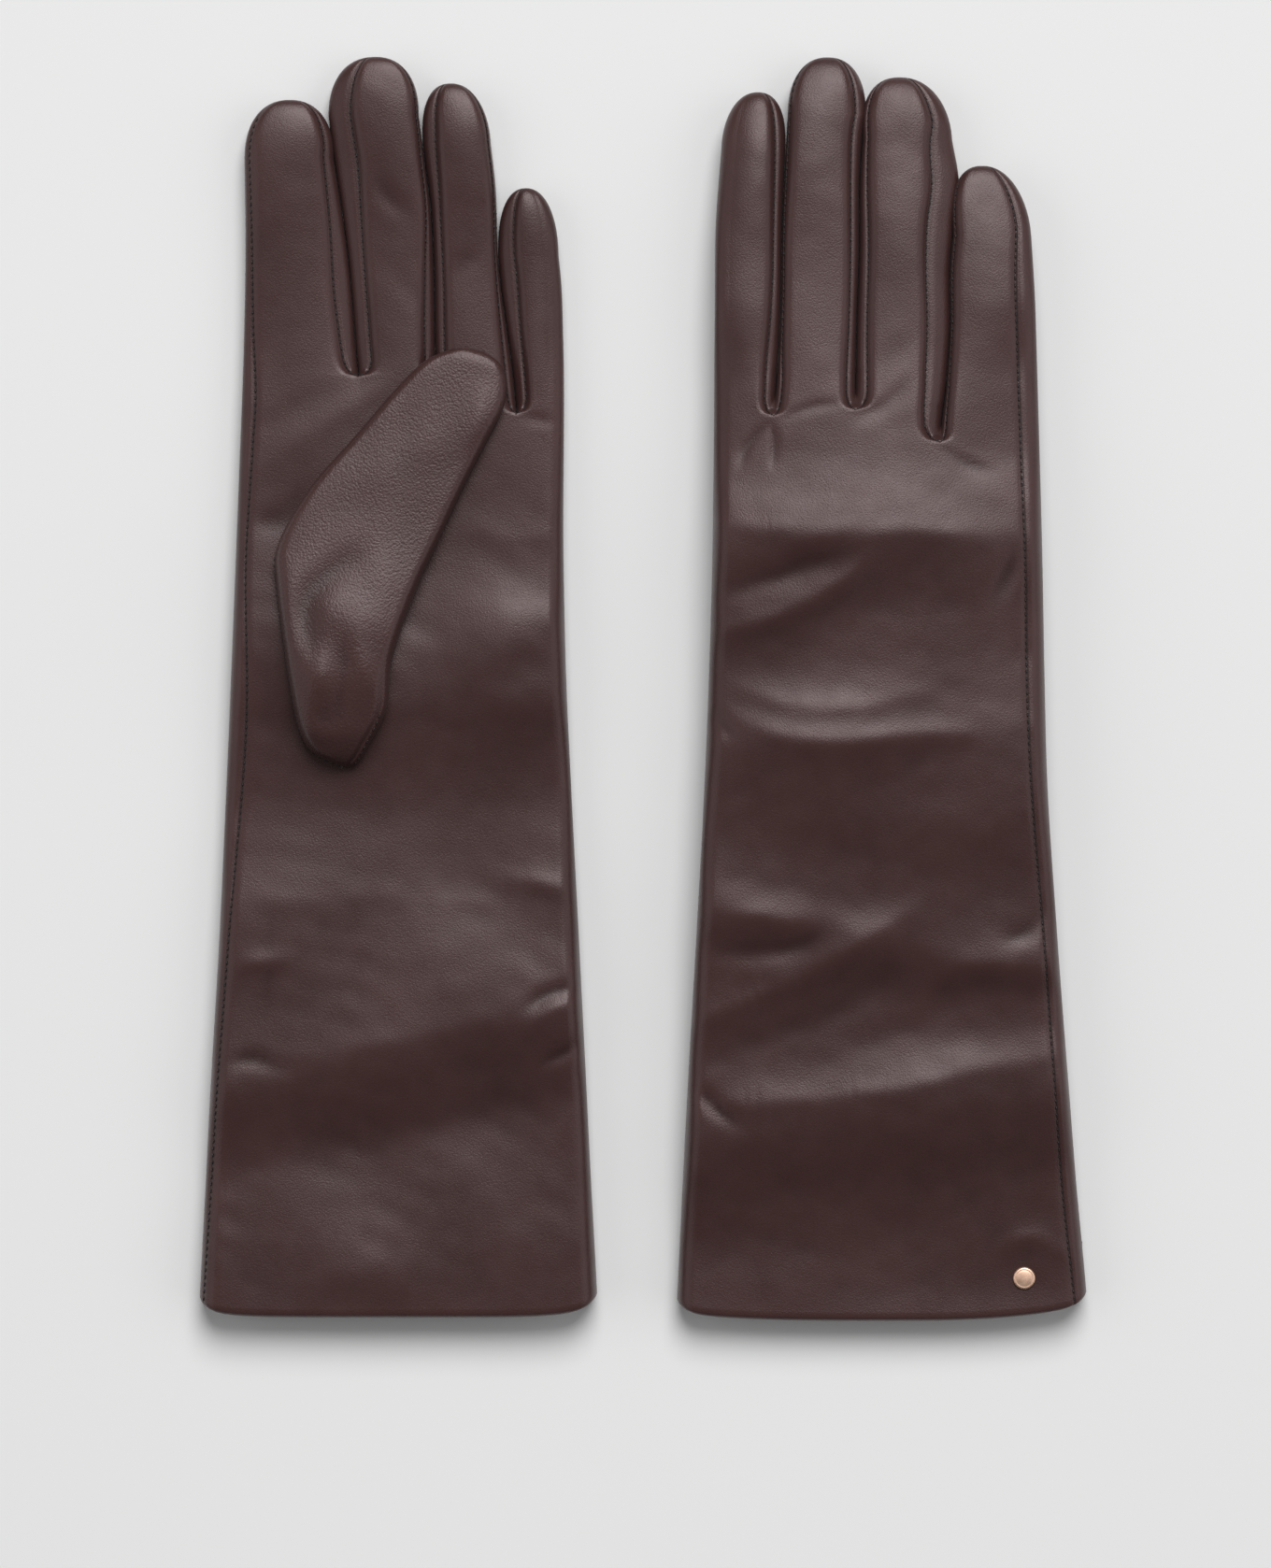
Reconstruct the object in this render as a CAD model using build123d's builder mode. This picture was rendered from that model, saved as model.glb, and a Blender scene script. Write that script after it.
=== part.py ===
"""A pair of long lined leather gloves lying flat, side by side, in millimetres.

Both gloves point their fingers along +Y. The left glove lies on its back with the thumb folded
across the palm. The right glove lies palm down, draped over its own folded thumb.
"""

import math
import os
from dataclasses import dataclass

from build123d import *

os.makedirs("parts", exist_ok=True)

# Layers of a glove wall
LEATHER = 1.0
LINING = 0.6
LAYER_GAP = 0.2
LINING_OUT = LEATHER + LAYER_GAP
LINING_IN = LINING_OUT + LINING

# Overall layout along Y
CUFF_Y = -175.0
HEM_DEPTH = 15.0
OVER_LENGTH = 6.0
FAR = 400.0

# Plumpness of the tubes
EDGE_ROUND = 5.0
FINGER_DEPTH = 13.0
FINGER_ROUND = 4.5
THUMB_DEPTH = 9.0
THUMB_ROUND = 3.0

# Finger roots
ROOT_GAP = 0.2
CROTCH_Y = 84.0
SLIT = 0.8
GUSSET_WALL = 1.0
SEAM_INSET = 2.8
INDEX_WRAP = 4.0
LITTLE_WRAP = 6.0

# Thumb
THUMB_CLEARANCE = 0.3
THUMB_TILT = 8.6
HOLE_CENTRE = (10.5, 2.0)
HOLE_LENGTH = 30.0
HOLE_WIDTH = 10.0
HOLE_OVERREACH = 0.4

# Stud
CAP_RADIUS = 3.1
CAP_HEIGHT = 1.2
POST_RADIUS = 1.0
PLATE_RADIUS = 3.0
PLATE_HEIGHT = 0.6
SEAT_CLEARANCE = 0.1


@dataclass
class Finger:
    """Plan of one finger tube: its fold line, its sides there, and the round of its tip."""

    name: str
    hinge_y: float
    root_left: float
    root_right: float
    tip_x: float
    tip_y: float
    tip_radius: float


@dataclass
class Glove:
    """One glove. Stations are (y, left x, right x, underside z, depth) from the cuff to the knuckles."""

    side: str
    palm_up: bool
    stations: list
    fingers: list
    finger_tilt: float
    thumb_base: tuple
    thumb_turn: float
    stud: tuple

    @property
    def palm_z(self):
        """Height of the palm's outer surface in the hand."""
        _, _, _, floor, depth = self.stations[-1]
        return floor + depth if self.palm_up else floor

    @property
    def palm_side(self):
        """+1 where the palm faces up, -1 where it faces down."""
        return 1 if self.palm_up else -1


LEFT_FINGERS = [
    Finger("index", 97.0, -111.0, -82.0, -99.1, 163.5, 11.2),
    Finger("middle", 98.0, -80.2, -59.2, -74.9, 175.5, 12.2),
    Finger("ring", 97.0, -57.6, -37.6, -52.6, 168.2, 9.4),
    Finger("little", 90.0, -36.6, -22.0, -31.8, 139.1, 6.8),
]
RIGHT_FINGERS = [
    Finger("index", 97.0, 20.0, 38.0, 31.0, 165.6, 8.4),
    Finger("middle", 98.0, 38.8, 59.1, 52.1, 175.5, 11.7),
    Finger("ring", 97.0, 59.9, 84.1, 75.2, 169.8, 10.4),
    Finger("little", 90.0, 84.9, 109.6, 97.0, 144.8, 9.5),
]
LEFT = Glove(
    side="left",
    palm_up=True,
    stations=[
        (CUFF_Y - OVER_LENGTH, -124.0, -12.5, 0.0, 13.0),
        (-120.4, -121.0, -15.2, 0.0, 13.0),
        (-68.4, -117.9, -17.8, 0.0, 13.0),
        (-26.8, -116.1, -19.9, 0.0, 13.0),
        (35.6, -113.5, -22.0, 0.0, 13.0),
        (102.0, -111.0, -22.0, 0.0, 13.0),
    ],
    fingers=LEFT_FINGERS,
    finger_tilt=0.0,
    thumb_base=(-98.0, 10.0),
    thumb_turn=0.0,
    stud=(-30.0, -164.0),
)
LIFT = THUMB_DEPTH + THUMB_CLEARANCE
RIGHT = Glove(
    side="right",
    palm_up=False,
    stations=[
        (CUFF_Y - OVER_LENGTH, 9.5, 124.0, 0.0, 13.0),
        (-120.4, 12.1, 119.5, 3.4, 13.0),
        (-68.4, 15.0, 115.3, 6.9, 13.0),
        (-34.0, 16.7, 113.0, LIFT, 13.0),
        (30.0, 19.3, 111.2, LIFT, 13.0),
        (102.0, 20.0, 109.6, LIFT, 13.0),
    ],
    fingers=RIGHT_FINGERS,
    finger_tilt=-6.5,
    thumb_base=(35.0, 10.0),
    thumb_turn=-8.0,
    stud=(106.2, -164.0),
)
# The folded thumb is the hull of these lobes (x, y, radius), with its fold line at local x = 0
THUMB_LOBES = [
    (16.7, -20.5, 8.5),
    (13.0, 8.0, 12.6),
    (14.0, 26.0, 12.0),
    (28.5, 47.5, 8.0),
    (58.0, 65.3, 11.7),
]


def save(part, name):
    """Labels a finished piece and writes its STEP file."""
    part.label = name
    export_step(part, f"parts/{name}.step")


def hand_volume(glove, inset):
    """The hand and forearm as one over-long pillow, inset all round by a layer's depth."""
    with BuildPart() as volume:
        for y, left, right, floor, depth in glove.stations:
            middle = ((left + right) / 2, y, floor + depth / 2)
            with BuildSketch(Plane(origin=middle, x_dir=(1, 0, 0), z_dir=(0, -1, 0))):
                RectangleRounded(right - left - 2 * inset, depth - 2 * inset, EDGE_ROUND - inset)
        loft(ruled=True)
    return volume.part


def column(points):
    """An upright prism over a plan polygon, taller than the gloves."""
    with BuildPart() as prism:
        with BuildSketch():
            with BuildLine():
                Polyline(*points, close=True)
            make_face()
        extrude(amount=FAR, both=True)
    return prism.part


def hand_extent(glove, cuff_y):
    """Everything from the cuff line up to the fold line of each finger."""
    edges = [(f.root_left, f.root_right, f.hinge_y - ROOT_GAP) for f in glove.fingers]
    points = [(-FAR, cuff_y), (-FAR, edges[0][2])]
    for (_, right, y), (left, _, next_y) in zip(edges, edges[1:]):
        middle = (right + left) / 2
        points += [(middle, y)] if y == next_y else [(middle, y), (middle, next_y)]
    points += [(FAR, edges[-1][2]), (FAR, cuff_y)]
    return column(points)


def side_band(glove, outer, width):
    """A band along one long side of the hand, from outside the glove to a seam set in by width."""
    seam = [(s[1] + width if outer < 0 else s[2] - width, s[0]) for s in glove.stations]
    far = seam[0][0] + outer * FAR
    return column([(far, seam[0][1]), *seam, (far, seam[-1][1])])


def palm_region(glove):
    """The palm panel's share of space: its own half, less the index wrap, plus the little wrap."""
    sheet = [(station[0], station[3] + station[4] / 2) for station in glove.stations]
    top = FAR * glove.palm_side
    with BuildPart() as region:
        with BuildSketch(Plane.YZ.offset(-FAR)):
            with BuildLine():
                Polyline(*sheet, (sheet[-1][0], top), (sheet[0][0], top), close=True)
            make_face()
        extrude(amount=2 * FAR)
        add(side_band(glove, 1, LITTLE_WRAP))
        add(side_band(glove, -1, INDEX_WRAP), mode=Mode.SUBTRACT)
    return region.part


def slit_columns(glove, width):
    """The three slits between the finger stubs, from crotch to finger, as wide as given."""
    columns = []
    for finger, neighbour in zip(glove.fingers, glove.fingers[1:]):
        middle = (finger.root_right + neighbour.root_left) / 2
        reach = max(finger.hinge_y, neighbour.hinge_y) + OVER_LENGTH
        with BuildPart() as slit:
            with BuildSketch(Plane.XY.offset(-FAR)):
                with Locations((middle, CROTCH_Y + SLIT / 2)):
                    Circle(width / 2)
                with Locations((middle, (CROTCH_Y + reach) / 2)):
                    Rectangle(width, reach - CROTCH_Y - SLIT)
            extrude(amount=2 * FAR)
        columns.append(slit.part)
    return columns


def thumb_plane(glove, height):
    """The thumb's own plan plane at a height, with local y along its fold line."""
    angle = math.radians(THUMB_TILT + glove.thumb_turn)
    x, y = glove.thumb_base
    return Plane(
        origin=(x, y, height),
        x_dir=(math.cos(angle), math.sin(angle), 0),
        z_dir=(0, 0, 1),
    )


def thumb_floor(glove):
    """Height of the underside of the folded thumb."""
    return glove.palm_z + THUMB_CLEARANCE if glove.palm_up else 0.0


def thumb_volume(glove, inset):
    """The folded thumb as a pillow, inset all round."""
    with BuildPart() as volume:
        with BuildSketch(thumb_plane(glove, thumb_floor(glove) + inset)):
            for x, y, radius in THUMB_LOBES:
                with Locations((x, y)):
                    Circle(radius - inset)
            make_hull()
        extrude(amount=THUMB_DEPTH - 2 * inset)
        rims = volume.edges().group_by(Axis.Z)
        fillet(rims[0] + rims[-1], THUMB_ROUND - inset)
    return volume.part


def thumb_hole(glove):
    """The passage from the palm into the thumb, through both walls."""
    reach = LINING_IN + THUMB_CLEARANCE + HOLE_OVERREACH
    with BuildPart() as hole:
        with BuildSketch(thumb_plane(glove, glove.palm_z)):
            with Locations(HOLE_CENTRE):
                Ellipse(HOLE_WIDTH / 2, HOLE_LENGTH / 2)
        extrude(amount=reach, both=True)
    return hole.part


def stud_axis(glove):
    """Plane on the back's outer surface at the stud, with z out of the leather."""
    x, y = glove.stud
    if glove.palm_up:
        return Plane(origin=(x, y, CAP_HEIGHT), x_dir=(1, 0, 0), z_dir=(0, 0, -1))
    rows = glove.stations
    share = (y - rows[0][0]) / (rows[1][0] - rows[0][0])
    top = rows[0][3] + share * (rows[1][3] - rows[0][3]) + rows[0][4]
    return Plane(origin=(x, y, top), x_dir=(1, 0, 0), z_dir=(0, 0, 1))


def build_stud(glove):
    """The domed cap with its post, and the plate that it is riveted to inside the cuff."""
    outside = stud_axis(glove)
    wall = 2 * LEATHER - (CAP_HEIGHT if glove.palm_up else 0)
    with BuildPart() as cap:
        with BuildSketch(outside):
            Circle(CAP_RADIUS)
        extrude(amount=CAP_HEIGHT)
        dome = cap.faces().sort_by(Axis.Z)[0 if glove.palm_up else -1]
        fillet(dome.edges(), CAP_HEIGHT / 2)
        with BuildSketch(outside):
            Circle(POST_RADIUS)
        extrude(amount=-(wall + PLATE_HEIGHT))
    with BuildPart() as plate:
        with BuildSketch(outside.offset(-wall)):
            Circle(PLATE_RADIUS)
            Circle(POST_RADIUS, mode=Mode.SUBTRACT)
        extrude(amount=-PLATE_HEIGHT)
    with BuildPart() as seat:
        with BuildSketch(outside):
            Circle(POST_RADIUS)
        extrude(amount=-2 * LEATHER)
        with BuildSketch(outside):
            Circle(CAP_RADIUS + SEAT_CLEARANCE)
        extrude(amount=CAP_HEIGHT + SEAT_CLEARANCE)
        with BuildSketch(outside.offset(-wall)):
            Circle(PLATE_RADIUS + SEAT_CLEARANCE)
        extrude(amount=-PLATE_HEIGHT - SEAT_CLEARANCE)
    save(cap.part, f"{glove.side}_stud_cap")
    save(plate.part, f"{glove.side}_stud_plate")
    return seat.part


def build_hand(glove):
    """The palm and back panels with their turned hems, the lining and the gusset crotches."""
    side = glove.side
    outer = hand_volume(glove, 0)
    inner = hand_volume(glove, LEATHER)
    extent = hand_extent(glove, CUFF_Y)
    hem_line = CUFF_Y + HEM_DEPTH
    hem_zone = column([(-FAR, hem_line), (FAR, hem_line), (FAR, -FAR), (-FAR, -FAR)])
    slits = slit_columns(glove, SLIT + 2 * GUSSET_WALL)
    hole = thumb_hole(glove)
    seat = build_stud(glove)
    with BuildPart() as hem:
        add(inner)
        add(hem_zone, mode=Mode.INTERSECT)
        add(hand_volume(glove, 2 * LEATHER), mode=Mode.SUBTRACT)
    with BuildPart() as shell:
        add(outer)
        add(inner, mode=Mode.SUBTRACT)
        add(hem.part)
        add(extent, mode=Mode.INTERSECT)
        add(slits, mode=Mode.SUBTRACT)
        add(hole, mode=Mode.SUBTRACT)
        add(seat, mode=Mode.SUBTRACT)
    region = palm_region(glove)
    with BuildPart() as palm:
        add(shell.part)
        add(region, mode=Mode.INTERSECT)
    with BuildPart() as back:
        add(shell.part)
        add(region, mode=Mode.SUBTRACT)
    save(palm.part, f"{side}_palm_panel")
    save(back.part, f"{side}_back_panel")

    wide_slits = slit_columns(glove, SLIT + 2 * GUSSET_WALL + 2 * LAYER_GAP)
    with BuildPart() as lining:
        add(hand_volume(glove, LINING_OUT))
        add(hand_volume(glove, LINING_IN), mode=Mode.SUBTRACT)
        add(hand_extent(glove, hem_line + LAYER_GAP), mode=Mode.INTERSECT)
        add(wide_slits, mode=Mode.SUBTRACT)
        add(hole, mode=Mode.SUBTRACT)
    save(lining.part, f"{side}_hand_lining")

    narrow = slit_columns(glove, SLIT)
    pairs = zip(glove.fingers, glove.fingers[1:], slits, narrow)
    for finger, neighbour, wide_slit, slit in pairs:
        with BuildPart() as gusset:
            add(outer)
            add(wide_slit, mode=Mode.INTERSECT)
            add(slit, mode=Mode.SUBTRACT)
            add(extent, mode=Mode.INTERSECT)
        save(gusset.part, f"{side}_{finger.name}_{neighbour.name}_gusset")


def finger_plane(glove, finger, rise):
    """The finger's own plan plane, tilted about its fold line, at a height above its underside."""
    base = glove.stations[-1][3]
    tilt = math.radians(glove.finger_tilt)
    plane = Plane(
        origin=(0, finger.hinge_y, base),
        x_dir=(1, 0, 0),
        z_dir=(0, -math.sin(tilt), math.cos(tilt)),
    )
    return plane.offset(rise)


def finger_sides(finger):
    """The (root x, shoulder x) of both sides, and the shoulder's distance from the fold line."""
    shoulder = finger.tip_y - finger.tip_radius - finger.hinge_y
    left = (finger.root_left, finger.tip_x - finger.tip_radius)
    right = (finger.root_right, finger.tip_x + finger.tip_radius)
    return left, right, shoulder


def finger_volume(glove, finger, inset):
    """One finger as a pillow that runs past its root, inset all round."""
    left, right, shoulder = finger_sides(finger)
    with BuildPart() as volume:
        with BuildSketch(finger_plane(glove, finger, inset)):
            for x in (left[0] + EDGE_ROUND, right[0] - EDGE_ROUND):
                for y in (0, -OVER_LENGTH):
                    with Locations((x, y)):
                        Circle(EDGE_ROUND - inset)
            with Locations((finger.tip_x, shoulder)):
                Circle(finger.tip_radius - inset)
            make_hull()
        extrude(amount=FINGER_DEPTH - 2 * inset)
        plane = finger_plane(glove, finger, 0)
        ends = volume.faces().sort_by(Axis(plane.origin, plane.z_dir))
        fillet(ends[0].edges() + ends[-1].edges(), FINGER_ROUND - inset)
    return volume.part


def finger_strip(glove, finger, outer, width, low, high):
    """A region along one side of a finger, as far as its shoulder, between two heights."""
    left, right, shoulder = finger_sides(finger)
    root_x, shoulder_x = left if outer < 0 else right
    seam = [(root_x - outer * width, -OVER_LENGTH), (root_x - outer * width, 0)]
    seam += [(shoulder_x - outer * width, shoulder)]
    far = outer * FAR
    with BuildPart() as strip:
        with BuildSketch(finger_plane(glove, finger, low)):
            with BuildLine():
                Polyline(*seam, (far, shoulder), (far, -OVER_LENGTH), close=True)
            make_face()
        extrude(amount=high - low)
    return strip.part


def build_finger(glove, finger, position):
    """Front and back strips, the fourchettes beside its neighbours, and the lining."""
    name = f"{glove.side}_{finger.name}"
    last = len(glove.fingers) - 1
    middle = FINGER_DEPTH / 2
    root_plane = Plane(origin=(0, finger.hinge_y + ROOT_GAP, 0), z_dir=(0, 1, 0))
    palm_range = (middle, FAR) if glove.palm_up else (-FAR, middle)
    with BuildPart() as shell:
        add(finger_volume(glove, finger, 0))
        add(finger_volume(glove, finger, LEATHER), mode=Mode.SUBTRACT)
        split(bisect_by=root_plane, keep=Keep.TOP)
    with BuildPart() as lining:
        add(finger_volume(glove, finger, LINING_OUT))
        add(finger_volume(glove, finger, LINING_IN), mode=Mode.SUBTRACT)
        split(bisect_by=root_plane, keep=Keep.TOP)
    save(lining.part, f"{name}_lining")

    fourchettes = []
    for outer, neighbour in ((-1, position - 1), (1, position + 1)):
        if 0 <= neighbour <= last:
            strip = finger_strip(glove, finger, outer, SEAM_INSET, -FAR, FAR)
            fourchettes.append(strip)
            with BuildPart() as fourchette:
                add(shell.part)
                add(strip, mode=Mode.INTERSECT)
            beside = glove.fingers[neighbour].name
            save(fourchette.part, f"{name}_fourchette_by_{beside}")
    with BuildPart() as palm_region:
        with BuildSketch(finger_plane(glove, finger, palm_range[0])):
            Rectangle(2 * FAR, 2 * FAR)
        extrude(amount=palm_range[1] - palm_range[0])
        if position == 0:
            add(finger_strip(glove, finger, -1, INDEX_WRAP, -FAR, FAR), mode=Mode.SUBTRACT)
        if position == last:
            add(finger_strip(glove, finger, 1, LITTLE_WRAP, -FAR, FAR))
    with BuildPart() as front:
        add(shell.part)
        add(palm_region.part, mode=Mode.INTERSECT)
        add(fourchettes, mode=Mode.SUBTRACT)
    with BuildPart() as back:
        add(shell.part)
        add(palm_region.part, mode=Mode.SUBTRACT)
        add(fourchettes, mode=Mode.SUBTRACT)
    save(front.part, f"{name}_front")
    save(back.part, f"{name}_back")


def build_thumb(glove):
    """The thumb's two leather halves, palm side and outer side, and its lining."""
    hole = thumb_hole(glove)
    name = f"{glove.side}_thumb"
    with BuildPart() as shell:
        add(thumb_volume(glove, 0))
        add(thumb_volume(glove, LEATHER), mode=Mode.SUBTRACT)
        add(hole, mode=Mode.SUBTRACT)
    with BuildPart() as lining:
        add(thumb_volume(glove, LINING_OUT))
        add(thumb_volume(glove, LINING_IN), mode=Mode.SUBTRACT)
        add(hole, mode=Mode.SUBTRACT)
    save(lining.part, f"{name}_lining")
    middle = Plane.XY.offset(thumb_floor(glove) + THUMB_DEPTH / 2)
    near, away = (Keep.BOTTOM, Keep.TOP) if glove.palm_up else (Keep.TOP, Keep.BOTTOM)
    for label, keep in (("inner", near), ("outer", away)):
        with BuildPart() as half:
            add(shell.part)
            split(bisect_by=middle, keep=keep)
        save(half.part, f"{name}_{label}")


for glove in (LEFT, RIGHT):
    build_hand(glove)
    build_thumb(glove)
    for position, finger in enumerate(glove.fingers):
        build_finger(glove, finger, position)
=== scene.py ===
"""The looks of a pair of long lined leather gloves, left palm up and right back up.

All shapes are worked out in millimetres in the frame of the CAD model and turned into metres
when a mesh is made. A glove is one closed skin of smooth grids, cut along its seams into the
panels, gussets and fourchettes that it is sewn from.
"""

import math

import bpy
import numpy as np
from mathutils import Matrix, Vector


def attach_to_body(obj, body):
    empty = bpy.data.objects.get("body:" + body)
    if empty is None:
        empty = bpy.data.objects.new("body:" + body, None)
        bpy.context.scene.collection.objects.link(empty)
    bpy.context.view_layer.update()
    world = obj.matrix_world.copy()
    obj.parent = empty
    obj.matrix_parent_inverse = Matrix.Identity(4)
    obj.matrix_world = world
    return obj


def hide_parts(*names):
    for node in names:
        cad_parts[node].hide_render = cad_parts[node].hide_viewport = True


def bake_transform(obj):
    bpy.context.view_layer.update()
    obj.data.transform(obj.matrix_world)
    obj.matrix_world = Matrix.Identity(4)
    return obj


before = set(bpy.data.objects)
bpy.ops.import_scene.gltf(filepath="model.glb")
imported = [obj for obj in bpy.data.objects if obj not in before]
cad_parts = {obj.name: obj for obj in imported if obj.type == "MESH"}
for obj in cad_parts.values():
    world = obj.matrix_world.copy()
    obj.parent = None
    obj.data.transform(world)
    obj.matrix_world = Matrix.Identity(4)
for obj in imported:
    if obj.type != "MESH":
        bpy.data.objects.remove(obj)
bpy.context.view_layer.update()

MM = 0.001
FINGERS = ("index", "middle", "ring", "little")

# Grid density
ROW_STEP = 1.4
FINE_STEP = 0.6
TOP_COLUMNS = 16
EDGE_COLUMNS = 7
RIBBON_COLUMNS = 12
TIP_ROWS = 16
PANEL_CLOSENESS = 0.55
RIBBON_CLOSENESS = 0.6
THUMB_CLOSENESS = 0.4

# Shape of the tubes
EDGE_RADIUS = 5.4
CROWN = 0.14
ROLL_DEPTH = 1.6
ROLL_WIDTH = 2.1
GROOVE_DEPTH = 0.45
GROOVE_WIDTH = 0.7
HALF_GAP = 0.04
CROTCH_LENGTH = 5.0
CORNER_RISE = 2.6
CORNER_POWER = 22
BOW_REACH = 45
TIP_ROUND = 2.3
WEB_SAG = 2.2
BEAD_HEIGHT = 0.35
BEAD_REACH = 0.75
BEAD_ROOM = 1.5
PLAIN_EDGE = 4.0
UNDER_INSET = 2.6
CREST = 1.6
CRISPNESS = 0.8
TIP_FALL = 0.62
TIP_LEAN = 1.3
RIM_POWER = 3.0
CROTCH_FADE = (-0.2, 1.8)
SPLINE_POINTS = 40
FOLD_END = 0.08
BROAD_RELIEF = 0.45
FINE_RELIEF = 0.03
UNDER_RELIEF = 0.45
HEM_RELIEF = 0.15
MERGE = 0.01
HOLLOW_LIMIT = 1.5

# Stretches of the glove's length, in y
HEM_HOLD = (-175, -160)
DROOP_IN = (-60, -10)
DROOP_OUT = (86, 110)
FINGER_ROOT = (78, 96)

# Layers
LEATHER = 0.9
LINING_DEPTH = 1.2
LINING = 0.5
HEM_INSET = 2.0
HEM_LENGTH = 15.0
LINING_LAP = 1.0
LINING_COLUMNS = (6, 3, 4)  # of the faces, the outer rims and the fourchettes
HEM_PATH = ((HEM_LENGTH, 1.0), (8.0, 1.0), (1.6, 1.0), (0.4, 0.85), (0.0, 0.5), (0.4, 0.15), (1.2, 0.0))

# Stitches
STITCH_PITCH = 2.0
STITCH_LENGTH = 1.2
STITCH_RADIUS = 0.22
STITCH_SIDES = 6
STITCH_PROFILE = ((-0.5, 0.0), (-0.42, 0.62), (-0.22, 1.0), (0.22, 1.0), (0.42, 0.62), (0.5, 0.0))
STITCH_LIFT = 0.55

# Stage: the camera's aim is in millimetres, the rest in metres and watts
CAMERA_AIM = (-1.95, -26.5, 12.0)
CAMERA_DISTANCE = 2.0
FRAME_HEIGHT = 0.4363
FLOOR_TONE = 0.80
WORLD_LIGHT = 0.13
LIGHTS = (
    ("key", (0.6, 3.5, 4.8), 4.0, 328.0),
    ("fill_left", (-3.0, 0.0, 2.0), 3.8, 27.0),
    ("fill_right", (3.0, 0.0, 2.0), 3.6, 29.0),
)

# Stud: the dome in shares of its radius and height, the shank and plate in millimetres
STUD_RADIUS = 3.1
STUD_SIDES = 64
DOME = 1.0
FLAT_DOME = 0.2
DOME_PROFILE = ((0, 1), (0.3, 0.98), (0.55, 0.93), (0.7, 0.87), (0.76, 0.83), (0.81, 0.86), (0.88, 0.84),
                (0.95, 0.7), (1, 0.4))
STUD_SHANK = [(STUD_RADIUS, -0.15), (0.9 * STUD_RADIUS, -0.35), (1.0, -0.4), (1.0, -1.9), (0, -1.9)]
STUD_PLATE = [(0, -1.95), (1.05, -2.0), (2.7, -2.0), (3.0, -2.15), (3.0, -2.35), (2.7, -2.5), (0, -2.5)]

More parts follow.
